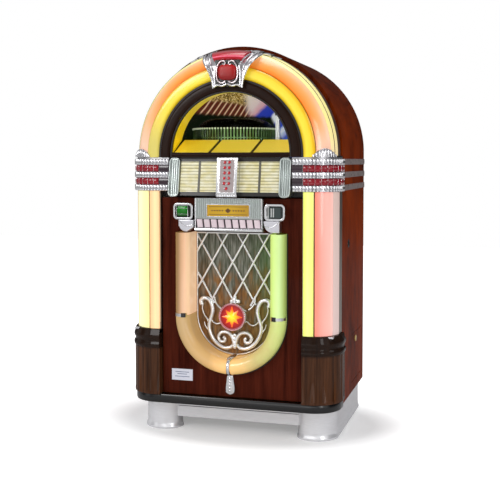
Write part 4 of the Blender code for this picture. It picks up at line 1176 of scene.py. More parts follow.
def make_lid():
    """Lit arch round the window: dark ring, yellow and orange plastics, sill, seals, channel behind."""
    leg = LID_BOTTOM
    round_arch = arch_stations(0, 180, FINE, leg)
    bm = new(swept_into, round_arch, bulged(WINDOW_R + 0.006, 0.2790, FACE_Y - 0.001, 0.0075, 14))
    finished("window_ring", bm, "ring_dark", "lid", ["lid_frame"], 30)
    bm = bmesh.new()
    back = FACE_Y + 0.012
    for low, high in ((WINDOW_R, WINDOW_R + 0.0065), (0.2785, 0.2866)):
        section = [(low, FACE_Y), (high, FACE_Y), (high, back), (low, back)]
        swept_into(bm, round_arch, section)
    finished("window_ring_edges", bm, "dark_seam", "lid", (), 30, 0.0008)
    half = ARCH_CORNER_X + CORNER_R
    channel = [
        (CHANNEL_IN, back), (0.2866, back), (0.2866, -0.1690), (half - CHANNEL_WALL, -0.1690),
        (half - CHANNEL_WALL, CORNER_Y),
    ]
    channel += arc((ARCH_CORNER_X, CORNER_Y), CORNER_R - CHANNEL_WALL, 0, -8, 3)
    channel += arc((ARCH_CORNER_X, CORNER_Y), CORNER_R, -8, 0, 3)
    channel += [(half, SHELL_FRONT - 0.0012), (CHANNEL_IN, SHELL_FRONT - 0.0012)]
    finished("arch_channel", new(swept_into, round_arch, channel), "edge_metal", "lid", (), 30)
    bm = new(swept_into, round_arch, bulged(RING_IN, ARCH_SEAM, FACE_Y + 0.0005, 0.0060, 12))
    finished("arch_yellow_ring", bm, "arch_yellow", "lid", ["arch_lens_inner"], 30)
    for side in SIDES:
        name = side_name(side)
        span = (0, 81.5) if side > 0 else (98.5, 180)
        stations = arch_stations(*span, FINE // 2, leg)
        bm = new(swept_into, stations, outer_lens_profile(ARCH_SEAM + 0.0008, 36, ARCH_CORNER_X))
        finished("arch_orange_" + name, bm, "arch_orange", "lid", ["arch_lens_" + name], 30)
        bm = new(swept_into, stations, edge_profile(35.2, 9, 0.0, ARCH_CORNER_X))
        finished("arch_edge_" + name, bm, "edge_cream", "lid", (), 30)
        bm = new(swept_into, stations, edge_profile(24.5, 22.5, 0.0007, ARCH_CORNER_X))
        finished("arch_edge_line_" + name, bm, "edge_metal", "lid", (), 30)
    sill_front = FACE_Y + 0.0005
    outline = [
        (sill_front, leg), (sill_front, leg + 0.005), (sill_front - 0.004, leg + 0.007),
        (sill_front - 0.005, leg + 0.010), (sill_front - 0.004, leg + 0.013), (sill_front, leg + 0.014),
        (sill_front, SILL_TOP), (sill_front + 0.014, SILL_TOP), (sill_front + 0.014, leg),
    ]
    bm = new(prism_into, outline, "x", -WINDOW_R - 0.001, WINDOW_R + 0.001)
    finished("window_sill", bm, "ring_dark", "lid", (), 30, 0.0006)
    for side in SIDES:
        stations = corner_stations(side, 0.2875, SHELL_FRONT - 0.0015, 0.008)
        section = [(-0.030, leg), (0.0005, leg), (0.0005, leg + 0.005), (-0.030, leg + 0.005)]
        bm = new(swept_into, stations, section)
        finished("lid_foot_" + side_name(side), bm, "dark_seam", "lid")
    bm = new(box_into, (-0.2830, -0.2580, LID_BOTTOM + 0.0002), (0.2830, -0.2550, LID_BOTTOM + 0.0110))
    finished("lid_seal", bm, "dark_seam", "lid")
    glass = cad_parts["window_glass"]
    glass.data.materials[0] = paint_of("clear_glass")


def shelf_height(y):
    """Height of the display's sloping shelf at a depth."""
    return SILL_TOP + 0.001 + 0.050 * (y - FACE_Y - 0.0165) / 0.114


def lining_radius(y):
    """The lining widens a little towards the back."""
    return WINDOW_R + 0.002 + 0.014 * (y - FACE_Y - 0.0165) / 0.114


def upright_plate(left, right, top, y):
    """Section of a shelf plate at a depth."""
    corners = ((left, top), (right, top), (right, top - 0.003), (left, top - 0.003))
    return [Vector((x, y, z)) for x, z in corners]


def make_display():
    """Yellow lit lining of the display, its shelf of three plates, and the painted backdrop."""
    front, back = FACE_Y + 0.0165, FACE_Y + 0.1305
    wall = 0.003
    rings = []
    for y in (front, back):
        radius = lining_radius(y)
        low_deg = math.degrees(math.asin((shelf_height(y) - ARCH_Z) / radius))
        points = arc((0, ARCH_Z), radius, low_deg, 180 - low_deg, 72)
        points += arc((0, ARCH_Z), radius - wall, 180 - low_deg, low_deg, 72)
        rings.append([Vector((x, y, z)) for x, z in points])
    finished("display_lining", new(rings_into, rings), "reveal_yellow", "lid", (), 30)
    half = WINDOW_R + 0.001
    divides = [-half, -0.0865, 0.0825, half]
    plates = bmesh.new()
    for left, right in zip(divides, divides[1:]):
        rings = []
        for y in (front, back):
            top = shelf_height(y)
            slant = 0.009 if y == back else 0.0
            ends = (left + 0.0070 + slant * (left > -half), right - 0.0065 + slant * (right < half))
            rings.append(upright_plate(*ends, top, y))
        rings_into(plates, rings)
    finished("display_shelf", plates, "shelf_yellow", "lid", (), 30, 0.0005)
    rings = []
    for y in (front, back):
        rings.append(upright_plate(-half, half, shelf_height(y) - 0.0034, y))
    finished("display_shelf_base", new(rings_into, rings), "dark_seam", "lid")
    low_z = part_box("mechanism_chassis")[0].z + 0.006
    steps = 64
    inside = HALF - WALL - 0.004
    rings = []
    for share in (0.0, 0.35, 0.7, 1.0):
        ring = []
        for i in range(steps + 1):
            angle = math.radians(200 - 220 * i / steps)
            x = 0.330 * math.cos(angle)
            top = min(1.478, SPRING_Z + math.sqrt(inside**2 - x**2) - 0.004)
            ring.append(Vector((x, 0.030 + 0.245 * math.sin(angle), low_z + (top - low_z) * share)))
        for point in reversed(ring[:]):
            ring.append(Vector((point.x * 1.008, 0.030 + (point.y - 0.030) * 1.010, point.z)))
        rings.append(ring)
    finished("backdrop", new(rings_into, rings), "painted_mural", "cabinet", (), 40)


def make_carousel():
    """Hub, basket and separate upright records; each record is a thin disc held by a ribbed guide."""
    centre_x = (CAROUSEL_LOW.x + CAROUSEL_HIGH.x) / 2
    centre_y = (CAROUSEL_LOW.y + CAROUSEL_HIGH.y) / 2
    reach = (CAROUSEL_HIGH.x - CAROUSEL_LOW.x) / 2 - 0.006
    low = CAROUSEL_LOW.z
    axis = (centre_x, centre_y, 0)
    profile = [
        (0.0150, low), (0.060, low), (reach, low + 0.006), (reach, low + 0.014), (reach - 0.003, low + 0.016),
        (reach - 0.005, low + 0.010), (0.060, low + 0.010), (0.048, low + 0.120), (0.0150, low + 0.120),
    ]
    bm = new(turned_into, profile, axis, sides=72)
    finished("carousel_basket", bm, "satin_steel", "carousel", ["record_carousel"], 30)
    count = 84
    radius = 0.0870
    records = bmesh.new()
    guides = bmesh.new()
    ticks = bmesh.new()
    for number in range(count):
        angle = 2 * math.pi * number / count
        out = Vector((math.cos(angle), math.sin(angle), 0))
        across = Vector((-out.y, out.x, 0))
        place = Vector((centre_x, centre_y, low + 0.0895)) + out * (reach - radius - 0.003)
        disc = [
            (0, -0.0007), (0.044, -0.0007), (0.045, -0.0012), (radius, -0.0008), (radius, 0.0008),
            (0.045, 0.0012), (0.044, 0.0007), (0, 0.0007),
        ]
        turned_into(records, disc, place, across, 32)
        rib = [
            (-0.0030, -0.0030), (-0.0030, 0.0), (-0.0014, 0.0018), (0.0014, 0.0018), (0.0030, 0.0),
            (0.0030, -0.0030),
        ]
        half_step = Vector((math.cos(angle + math.pi / count), math.sin(angle + math.pi / count), 0))
        sideways = Vector((-half_step.y, half_step.x, 0))
        middle = Vector(axis) + half_step * (reach - 0.0035)
        rings = []
        for level in (low + 0.010, low + 0.128, low + 0.133):
            shrink = 1.0 if level < low + 0.13 else 0.5
            rings.append(
                [middle + sideways * a * shrink + half_step * b + Vector((0, 0, level)) for a, b in rib]
            )
        rings_into(guides, rings)
        tick = middle + half_step * 0.0010 + Vector((0, 0, low + 0.133))
        bead_into(ticks, tick, 0.0042)
    core = [
        (0, low + 0.012), (0.100, low + 0.012), (0.100, low + 0.150), (0.090, low + 0.160), (0, low + 0.160)
    ]
    turned_into(records, core, axis, sides=64)
    finished("records", records, "vinyl", "carousel", (), 30)
    # the guides and the hoop carry the painted highlights and glow of the record edges
    finished("record_guides", guides, "record_edge", "carousel", (), 40)
    finished("record_ticks", ticks, "tick_pale", "carousel", (), 60)
    hoop = [
        (reach - 0.0065, low + 0.094), (reach - 0.0015, low + 0.094), (reach - 0.0015, low + 0.098),
        (reach - 0.0065, low + 0.098),
    ]
    bm = new(turned_into, hoop, axis, sides=72)
    finished("carousel_hoop", bm, "record_edge", "carousel", (), 30)


# ---------------------------------------------------------------- crown


def arch_front(x, z):
    """Depth of the arch's front at a point of the XZ plane."""
    beyond = max(0.0, math.hypot(x, z - ARCH_Z) - ARCH_CORNER_X)
    return CORNER_Y - math.sqrt(max(CORNER_R * CORNER_R - beyond * beyond, 0.0))


def rail_into(bm, points, width, height):
    """Half-round bar along (x, y, z) points on the arch, its width lying in the XZ plane."""
    count = len(points)
    rings = []
    for i, point in enumerate(points):
        before, after = points[max(i - 1, 0)], points[min(i + 1, count - 1)]
        along = (after - before).normalized()
        side = Vector((along.z, 0, -along.x)).normalized()
        out = along.cross(side).normalized()
        if out.y > 0:
            out = -out
        rings.append(half_round(point, side, out, width(i / (count - 1)) / 2, height, steps=8))
    rings_into(bm, rings)


def make_crown():
    """Keystone: flared chrome wings, red cap between them, red gem held by two scrolls."""
    front = CROWN_FRONT + 0.006
    outer = curve_points(
        [(0.057, 1.347), (0.060, 1.370), (0.067, 1.394), (0.081, 1.424), (0.098, 1.450), (0.112, 1.4765)], 28
    )
    inner = curve_points(
        [(0.049, 1.355), (0.050, 1.380), (0.050, 1.405), (0.047, 1.428), (0.052, 1.452), (0.071, 1.4895)], 28
    )

    def on_arch(x, z, lift):
        flat = front + 0.004 - lift
        turned_back = arch_front(x, z) - 0.012 - lift
        share = min(1.0, max(0.0, (z - 1.430) / 0.045))
        return Vector((x, flat + (max(turned_back, flat) - flat) * share, z))

    plates = bmesh.new()
    rails = bmesh.new()
    scrolls = bmesh.new()
    for side in SIDES:
        rings = []
        for (out_x, out_z), (in_x, in_z) in zip(outer, inner):
            ring = []
            for share in (0.0, 0.25, 0.5, 0.75, 1.0):
                x, z = out_x + (in_x - out_x) * share, out_z + (in_z - out_z) * share
                ring.append(on_arch(side * x, z, -0.003 - 0.004 * math.sin(math.pi * share)))
            for share in (1.0, 0.0):
                x, z = out_x + (in_x - out_x) * share, out_z + (in_z - out_z) * share
                ring.append(on_arch(side * x, z, -0.011))
            rings.append(ring)
        rings_into(plates, rings)
        for path, wide, tip in ((outer, 0.0085, 1.5), (inner, 0.0075, 1.7)):
            points = [on_arch(side * x, z, -0.003) for x, z in path]
            rail_into(rails, points, lambda t, w=wide, k=tip: w * (1 + (k - 1) * t * t), 0.0060)
        middle = [
            on_arch(side * (a[0] + b[0]) / 2, (a[1] + b[1]) / 2, -0.005)
            for a, b in zip(outer[14:], inner[14:])
        ]
        rail_into(rails, middle, lambda t: 0.0045 + 0.006 * t, 0.0050)
        scroll = [
            (0.006, 1.3715), (0.020, 1.3660), (0.033, 1.3715), (0.0405, 1.388), (0.0410, 1.410),
            (0.0365, 1.430), (0.026, 1.4450), (0.013, 1.4470), (0.0065, 1.4390), (0.011, 1.4330),
            (0.017, 1.4370),
        ]
        points = [Vector((x, front + 0.002, z)) for x, z in curve_points(mirrored(side, scroll), 48)]
        rail_into(scrolls, points, lambda t: 0.0078 - 0.002 * t, 0.0060)
        foot = mirrored(side, [(0.054, 1.3500), (0.038, 1.3580), (0.020, 1.3545), (0.002, 1.3620)])
        points = [Vector((x, front + 0.003, z)) for x, z in curve_points(foot, 20)]
        rail_into(rails, points, lambda t: 0.0080, 0.0060)
    finished("crown_wings", plates, "wing_metal", "lid", ["crown_casting"], 40)
    finished("crown_rails", rails, "chrome", "lid", (), 50)
    finished("crown_scrolls", scrolls, "pearl_chrome", "lid", (), 50)
    outline = [
        (0.050, 1.350), (0.050, 1.452), (-0.050, 1.452), (-0.050, 1.350), (-0.020, 1.356), (0.0, 1.352),
        (0.020, 1.356),
    ]
    bm = new(prism_into, outline, "y", front + 0.006, FACE_Y - 0.0065)
    finished("crown_field", bm, "wing_dark", "lid", (), 30, 0.001)
    make_gem(front)
    make_cap()
    make_clips()


def make_gem(front):
    """Pillow-shaped red jewel with rounded corners."""
    rings = []
    for share, size in ((0.0, 1.0), (0.35, 1.0), (0.6, 0.965), (0.8, 0.88), (0.93, 0.72), (1.0, 0.45)):
        ring = []
        for i in range(40):
            angle = 2 * math.pi * i / 40
            x = math.copysign(abs(math.cos(angle)) ** 0.55, math.cos(angle)) * 0.0350 * size
            z = math.copysign(abs(math.sin(angle)) ** 0.55, math.sin(angle)) * 0.0290 * size
            ring.append(Vector((x, front + 0.007 - 0.0125 * share, 1.4055 + z)))
        rings.append(ring)
    finished("crown_gem", new(rings_into, rings), "gem_red", "lid", (), 60)


def cap_spread(radius):
    """Half the cap's angle round the arch, which opens with the radius."""
    return math.radians(8.3 + 2.6 * (radius - 0.348) / 0.051)


def make_cap():
    """Red moulding over the top of the arch, between the wings, coloured with a painted highlight stripe."""
    profile = [
        (0.3480, -0.3120), (0.3520, -0.3190), (0.3590, -0.3225), (0.3680, -0.3200), (0.3770, -0.3110),
        (0.3860, -0.2970), (0.3930, -0.2800), (0.3975, -0.2600), (0.3990, -0.2380), (0.3990, -0.2050),
    ]
    rings = []
    steps = 24
    for i in range(steps + 1):
        across = -1 + 2 * i / steps
        ring = []
        for radius, y in profile:
            angle = math.pi / 2 - across * cap_spread(radius)
            ring.append(Vector((radius * math.cos(angle), y, ARCH_Z + radius * math.sin(angle))))
        for radius, y in reversed(profile):
            angle = math.pi / 2 - across * cap_spread(radius)
            inner, depth = radius - 0.006, min(y + 0.006, -0.2050)
            ring.append(Vector((inner * math.cos(angle), depth, ARCH_Z + inner * math.sin(angle))))
        rings.append(ring)
    finished("crown_cap", new(rings_into, rings), "cap_red", "lid", (), 40)
    stations = arch_stations(79.5, 100.5, 16)
    bm = new(swept_into, stations, arc((0.3965, -0.2100), 0.0052, 0, 360, 12)[:-1])
    finished("crown_cap_bead", bm, "cast_chrome", "lid", (), 50)


def make_clips():
    """Chrome mouldings along the outer edge of the arch, one on each side of the crown, each with two dark
    patches that are painted reflections.
    """
    band = bmesh.new()
    dark_reflections = bmesh.new()
    for side in SIDES:
        start, end = (90 - side * 10.5, 90 - side * 27.0)
        count = 40
        stations = arch_stations(start, end, count)
        rings = []
        for index, (origin, out, up) in enumerate(stations):
            share = index / count
            swell = 0.0028 + 0.0042 * abs(math.sin(math.pi * (share * 2.5 + 0.15))) * (1 - 0.4 * share)
            reach = 30 - 16 * share
            section = arc((ARCH_CORNER_X, CORNER_Y), CORNER_R + swell, -reach, -3, 8)
            section += arc((ARCH_CORNER_X, CORNER_Y), CORNER_R - 0.001, -3, -reach, 8)
            rings.append([origin + out * a + up * b for a, b in section])
        rings_into(band, rings)
        # painted reflection: two short dark raised bands on each chrome moulding
        for middle, wide in ((0.30, 0.05), (0.66, 0.04)):
            centre = start + (end - start) * middle
            half = abs(end - start) * wide
            stations = arch_stations(centre - half, centre + half, 6)
            section = arc((ARCH_CORNER_X, CORNER_Y), CORNER_R + 0.0072, -30 + 16 * middle, -2, 8)
            section += arc((ARCH_CORNER_X, CORNER_Y), CORNER_R - 0.001, -2, -30 + 16 * middle, 8)
            swept_into(dark_reflections, stations, section)
    finished("arch_edge_band", band, "chrome", "lid", (), 50)
    finished("arch_edge_painted_reflections", dark_reflections, "wing_dark", "lid", (), 40, 0.0008)


def curve_points(points, count):
    """Points along a smooth curve through the given ones (centripetal spline)."""
    padded = [points[0]] + list(points) + [points[-1]]
    spans = len(points) - 1
    made = []
    for i in range(count + 1):
        place = spans * i / count
        span = min(int(place), spans - 1)
        t = place - span
        a, b, c, d = (Vector(padded[span + k]) for k in range(4))
        value = 0.5 * (
            (2 * b) + (c - a) * t + (2 * a - 5 * b + 4 * c - d) * t**2 + (3 * b - a - 3 * c + d) * t**3
        )
        made.append((value.x, value.y))
    return made


def make_finials():
    """Small fan-shaped chrome peaks on the collars' outer corners, with rays on their fronts."""
    up = Vector((0, 0, 1))
    for side in SIDES:
        base = COLLAR_HIGH.z + 0.0064
        steps = 32
        rings = []
        for i in range(steps + 1):
            angle = math.radians(84 - 56 * i / steps)
            out = Vector((side * math.cos(angle), -math.sin(angle), 0))
            origin = Vector((side * CORNER_X, CORNER_Y, 0))
            rise = 0.0020 + 0.0300 * math.sin(math.pi * i / steps) ** 0.75
            section = [
                (CORNER_R + 0.0005, 0.0), (CORNER_R + 0.0085, 0.0), (CORNER_R + 0.0085, rise * 0.55),
                (CORNER_R + 0.0060, rise * 0.88), (CORNER_R + 0.0020, rise), (CORNER_R + 0.0005, rise),
            ]
            rings.append([origin + out * a + up * (base + b) for a, b in section])
        fan = new(rings_into, rings)
        finished("finial_" + side_name(side), fan, "band_grey", "lid", (), 40)
        rays = bmesh.new()
        for i in range(9):
            share = (i + 0.5) / 9
            angle = math.radians(84 - 56 * share)
            out = Vector((side * math.cos(angle), -math.sin(angle), 0))
            tangent = out.cross(up)
            origin = Vector((side * CORNER_X, CORNER_Y, 0)) + out * (CORNER_R + 0.0082)
            rise = 0.0020 + 0.0300 * math.sin(math.pi * share) ** 0.75
            rings = []
            for level, wide in ((0.0, 0.0030), (rise * 0.5, 0.0040), (rise * 0.92, 0.0030), (rise, 0.0012)):
                lean = -0.0022 * (level / max(rise, 0.001)) ** 2
                rings.append(half_round(origin + up * (base + level), tangent, out, wide, wide * 0.8, lean))
            rings_into(rays, rings)
        finished("finial_rays_" + side_name(side), rays, "chrome", "lid", (), 60)


# ---------------------------------------------------------------- title board and selector


def board_front(level):
    """Depth of the sloping title board at a height."""
    slope = 0.183
    return -0.289 - slope * (1.07 - level)


def board_section(high, low, lift, behind):
    """Section of a strip on the title board, from its lift before the board's face to a depth behind it."""
    front = [(board_front(high) - lift, high), (board_front(low) - lift, low)]
    return front + [(board_front(low) + behind, low), (board_front(high) + behind, high)]


def make_title_board():
    """Sloping board with four columns of blank cards and the dividers between them."""
    bm = new(prism_into, board_section(1.0805, 0.9400, 0.0, 0.006), "x", -0.1985, 0.1985)
    finished("title_back", bm, "dark_seam", "cabinet", ["title_board"], 30)
    bm = new(
        prism_into,
        [(-0.2900, 1.0800), (-0.2900, 1.0856), (-0.2700, 1.0856), (-0.2700, 1.0800)],
        "x",
        -0.2440,
        0.2440,
    )
    finished("title_top_rail", bm, "dark_seam", "cabinet", (), 30)
    bm = new(box_into, (-0.2830, -0.2580, DOOR_HIGH.z + 0.004), (0.2830, -0.2550, LID_BOTTOM - 0.0005))
    finished("front_liner", bm, "dark_seam", "cabinet")
    upper, lower = 1.0700, 0.9540
    bm = new(prism_into, board_section(upper, lower, 0.0008, 0.001), "x", -0.1980, 0.1980)
    finished("title_bed", bm, "card_bed", "cabinet", (), 30)
    centres = [(-0.1600, 0.0375), (-0.0805, 0.0385), (0.0805, 0.0385), (0.1600, 0.0375)]
    for number, (middle, half) in enumerate(centres, start=1):
        bm = bmesh.new()
        rows = 10
        pitch = (upper - lower) / rows
        for row in range(rows):
            high = upper - row * pitch - 0.0005
            low = high - pitch + 0.0010
            section = []
            for level, lift in ((low, 0.0014), ((low + high) / 2, 0.0024), (high, 0.0014)):
                section.append((board_front(level) - lift, level))
            section += [(board_front(high) + 0.0005, high), (board_front(low) + 0.0005, low)]
            prism_into(bm, section, "x", middle - half, middle + half)
        finished(f"title_cards_{number}", bm, "title_strips", "cabinet", (), 25)
    bm = bmesh.new()
    for middle in (-0.1202, 0.1202):
        section = board_section(upper, lower, 0.0036, 0.001)
        prism_into(bm, section, "x", middle - 0.0045, middle + 0.0045)
    finished("title_dividers", bm, "divider_grey", "cabinet", (), 30, 0.0012)


def make_title_ends():
    """Chrome uprights: four ribs in a rounded rim."""
    normal = Vector((0, -0.985, 0.170)).normalized()
    for side in SIDES:
        middle = side * (END_LOW.x + END_HIGH.x) / 2
        half = (END_HIGH.x - END_LOW.x) / 2 - 0.0006
        low, high = END_LOW.z + 0.0005, END_HIGH.z - 0.0005

        def face(level):
            return -0.3275 + 0.025 * (level - low) / (high - low)

        name = side_name(side)
        outline = rounded_rect((-half, low), (half, high), 0.014, 8)
        rings = [[Vector((middle + x, face(z) + 0.006, z)) for x, z in outline]]
        rings.append([Vector((middle + x, -0.2635, z)) for x, z in outline])
        bm = new(rings_into, rings)
        finished("title_upright_" + name, bm, "silver", "cabinet", ["title_end_" + name], 40)
        bm = bmesh.new()
        count = len(outline)
        rim = [
            Vector((middle + x * 0.93, face(z) + 0.0058, low + (z - low) * 0.985 + 0.001)) for x, z in outline
        ]
        rings = []
        for i, point in enumerate(rim):
            along = (rim[(i + 1) % count] - rim[i - 1]).normalized()
            across = along.cross(normal).normalized()
            rings.append(half_round(point, across, normal, 0.0034, 0.0050))
        rings_into(bm, rings, closed=True)
        for rib in range(4):
            x = middle - 0.0125 + rib * 0.00833
            rings = []
            for level, wide in (
                (low + 0.006, 0.0012), (low + 0.008, 0.0026), (high - 0.008, 0.0026), (high - 0.006, 0.0012)
            ):
                place = Vector((x, face(level) + 0.0056, level))
                rings.append(half_round(place, Vector((1, 0, 0)), normal, wide, wide * 1.5))
            rings_into(bm, rings)
        finished("title_upright_ribs_" + name, bm, "silver", "cabinet", (), 60)


def selector_frame():
    """Foot of the sloping button face, its length, the direction up it and the direction out of it."""
    top = Vector((0, -0.3225, SELECTOR_HIGH.z))
    low = Vector((0, SELECTOR_LOW.y, 0.948))
    along = (top - low).normalized()
    normal = Vector((0, -along.z, along.y)).normalized()
    if normal.y > 0:
        normal = -normal
    return low, (top - low).length, along, normal


def make_selector():
    """Sloping housing with a sunk panel, eleven buttons in their wells and a ribbed apron."""
    low, length, along, normal = selector_frame()
    half = SELECTOR_HIGH.x
    sideways = Vector((1, 0, 0))

    def panel_rings(outline, depths):
        rings = []
        for depth in depths:
            rings.append(
                [low + sideways * across + along * share + normal * depth for across, share in outline]
            )
        return rings

    bm = bmesh.new()
    outline = [
        (-0.3225, SELECTOR_HIGH.z), (SELECTOR_LOW.y, 0.948), (SELECTOR_LOW.y + 0.004, SELECTOR_LOW.z),
        (board_front(SELECTOR_LOW.z) - 0.0004, SELECTOR_LOW.z),
        (board_front(SELECTOR_HIGH.z) - 0.0004, SELECTOR_HIGH.z),
    ]
    prism_into(bm, outline, "x", -half, half)
    housing = finished(
        "selector_case", bm, "cast_chrome", "cabinet", ["selector_housing"], 30, 0.0022, 3
    )
    recess = rounded_rect((-0.0285, 0.006), (0.0285, length - 0.006), 0.006)
    cut_mesh(housing, new(rings_into, panel_rings(recess, (-0.0022, 0.02))))
    plate = rounded_rect((-0.0281, 0.0064), (0.0281, length - 0.0064), 0.0056)
    bm = new(rings_into, panel_rings(plate, (-0.0020, -0.0008)))
    panel = finished("selector_panel", bm, "pink_panel", "cabinet", (), 30)
    places = []
    for number in range(1, 12):
        box_low, box_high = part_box(f"select_button_{number:02d}")
        places.append(((box_low + box_high) / 2).copy())
    bezels = bmesh.new()
    for number, middle in enumerate(places, start=1):
        share = (middle - low).dot(along)
        face = Vector((middle.x, 0, 0)) + Vector((0, low.y, low.z)) + along * share
        for piece, bottom in ((panel, -0.004), (housing, -0.016)):
            well = [(0, bottom), (0.0056, bottom), (0.0056, 0.004), (0, 0.004)]
            cut_mesh(piece, new(turned_into, well, face, normal, 24))
        ring = [(0.0056, -0.0010), (0.0078, -0.0010), (0.0076, 0.0006), (0.0066, 0.0014), (0.0057, 0.0008)]
        turned_into(bezels, ring, face, normal, 28)
        dome = [(0, -0.0078), (0.0049, -0.0078), (0.0050, 0.0020)]
        for turn in map(math.radians, (20, 40, 60, 78)):
            dome.append((0.0050 * math.cos(turn), 0.0020 + 0.0019 * math.sin(turn)))
        dome.append((0, 0.0039))
        bm = new(turned_into, dome, face, normal, 28)
        node_name = f"select_button_{number:02d}"
        finished(
            f"button_cap_{number:02d}",
            bm,
            "button_red",
            f"button_{number:02d}",
            [node_name],
            50,
        )
    finished("button_bezels", bezels, "cast_chrome", "cabinet", (), 50)
    block = bmesh.new()
    for rib in range(9):
        x = -half + 0.004 + rib * (2 * half - 0.008) / 8
        section = arc((x, SELECTOR_LOW.y + 0.0030), 0.0032, 180, 360, 8)
        prism_into(block, section, "z", SELECTOR_LOW.z + 0.0003, 0.9475)
    finished("selector_ribs", block, "cast_chrome", "cabinet", (), 50)


# ---------------------------------------------------------------- door


def u_outline(half, top, bottom_centre, steps=48):
    return [(half, top), (-half, top)] + arc((0, bottom_centre), half, 180, 360, steps)


def make_door():
    """Door panel with the opening for the grille, the rim behind it and the bead round it."""
    outline = [
        (DOOR_HIGH.x, DOOR_LOW.z), (DOOR_HIGH.x, DOOR_HIGH.z), (DOOR_LOW.x, DOOR_HIGH.z),
        (DOOR_LOW.x, DOOR_LOW.z),
    ]
    bm = new(prism_into, outline, "y", DOOR_FRONT, DOOR_FRONT + DOOR_THICK)
    panel = finished("door", bm, "door_wood", "front_door", ["door_panel"], 30, 0.0018)
    edge = TUBE_MID + TUBE_HALF
    cut_mesh(panel, new(prism_into, u_outline(edge + 0.0015, TUBE_HIGH.z + 0.003, BOWL_Z), "y", -0.36, -0.15))
    stations = u_stations(TUBE_HIGH.z)
    rim = [
        (edge + 0.0020, DOOR_FRONT + 0.0205), (edge + 0.0190, DOOR_FRONT + 0.0205),
        (edge + 0.0190, CLOTH_HIGH.y), (edge + 0.0020, CLOTH_HIGH.y),
    ]
    finished("door_rim", new(swept_into, stations, rim), "inner_wood", "front_door")
    bead = [
        (edge + 0.0012, DOOR_FRONT - 0.0002), (edge + 0.0020, DOOR_FRONT - 0.0024),
        (edge + 0.0046, DOOR_FRONT - 0.0026), (edge + 0.0062, DOOR_FRONT - 0.0002),
    ]
    finished("opening_bead", new(swept_into, stations, bead), "dark_seam", "front_door", (), 60)


def u_stations(top, bottom_steps=64):
    """Stations down the left leg, round the bottom and up the right leg, for (distance, y) profiles."""
    up = Vector((0, 1, 0))
    stations = [(Vector((0, 0, top)), Vector((-1, 0, 0)), up)]
    for i in range(bottom_steps + 1):
        angle = math.radians(180 + 180 * i / bottom_steps)
        stations.append((Vector((0, 0, BOWL_Z)), Vector((math.cos(angle), 0, math.sin(angle))), up))
    return stations + [(Vector((0, 0, top)), Vector((1, 0, 0)), up)]


def tube_profile():
    """Half-round front on straight cheeks, as a channel that is open at the back."""
    reach = TUBE_HALF
    back = TUBE_HIGH.y
    outside = arc((0, TUBE_CENTRE_Y), reach, 0, -180, 24)
    inside = arc((0, TUBE_CENTRE_Y), reach - 0.0035, -180, 0, 16)
    profile = [(reach, back)] + outside + [(-reach, back), (-reach + 0.0035, back)] + inside
    return profile + [(reach - 0.0035, back)]


def make_tubes():
    low, high = TUBE_LOW.z, TUBE_HIGH.z
    for side in SIDES:
        name = side_name(side)
        profile = [(side * (TUBE_MID + a), b) for a, b in tube_profile()]
        bm = new(prism_into, profile, "z", low, high)
        paint = "tube_tan" if side < 0 else "tube_green"
        finished("light_tube_" + name, bm, paint, "front_door", ["grille_tube_" + name], 30, 0.0012)
    profile = [(TUBE_MID + a, b) for a, b in tube_profile()]
    bm = new(swept_into, u_stations(BOWL_HIGH.z), profile)
    finished("light_tube_bowl", bm, "tube_bowl", "front_door", ["grille_tube_bottom"], 30)
    # Clips over the joints between the legs and the bowl: a band, a dark tab beside it, its bright edge.
    # Each has its angles round the tube, steps, lift, paint, and reach below and above the joint.
    parts = (
        ("tube_clip_", 0, -100, 14, 0.0014, "satin_steel", 0.0062, 0.0052),
        ("tube_clip_tab_", -92, -126, 6, 0.0022, "dark_seam", 0.0085, 0.0080),
        ("tube_clip_trim_", -126.5, -136, 3, 0.0018, "brass", 0.0085, 0.0080),
    )
    for side in SIDES:
        for title, start, end, steps, lift, paint, below, above in parts:
            section = arc((0, TUBE_CENTRE_Y), TUBE_HALF + lift, start, end, steps)
            section += arc((0, TUBE_CENTRE_Y), TUBE_HALF + 0.0001, end, start, steps)
            outline = [(side * (TUBE_MID + a), b) for a, b in section]
            bm = new(prism_into, outline, "z", low - below, low + above)
            finished(title + side_name(side), bm, paint, "front_door", (), 40)


def make_cloth():
    """Grille cloth pulled flat over the board, with a faint ripple."""
    half = CLOTH_HIGH.x
    back = CLOTH_HIGH.y - 0.0004
    bm = bmesh.new()
    columns, rows = 48, 72
    grid = []
    for row in range(rows + 1):
        level = CLOTH_LOW.z + (CLOTH_HIGH.z - CLOTH_LOW.z) * row / rows
        drop = max(0.0, BOWL_Z - level)
        reach = half if drop == 0 else math.sqrt(max(0.0, half**2 - drop**2))
        line = []
        for column in range(columns + 1):
            x = -reach + 2 * reach * column / columns
            ripple = 0.0004 * math.sin(x * 160) * math.sin(level * 90)
            line.append(bm.verts.new((x, back - 0.0008 - ripple, level)))
        grid.append(line)
    for one, two in zip(grid, grid[1:]):
        for i in range(columns):
            corners = [one[i], one[i + 1], two[i + 1], two[i]]
            bm.faces.new(corners)
    bmesh.ops.remove_doubles(bm, verts=bm.verts, dist=1e-6)
    cloth = finished("speaker_cloth", bm, "grille_cloth", "front_door", ["grille_cloth"], 60)


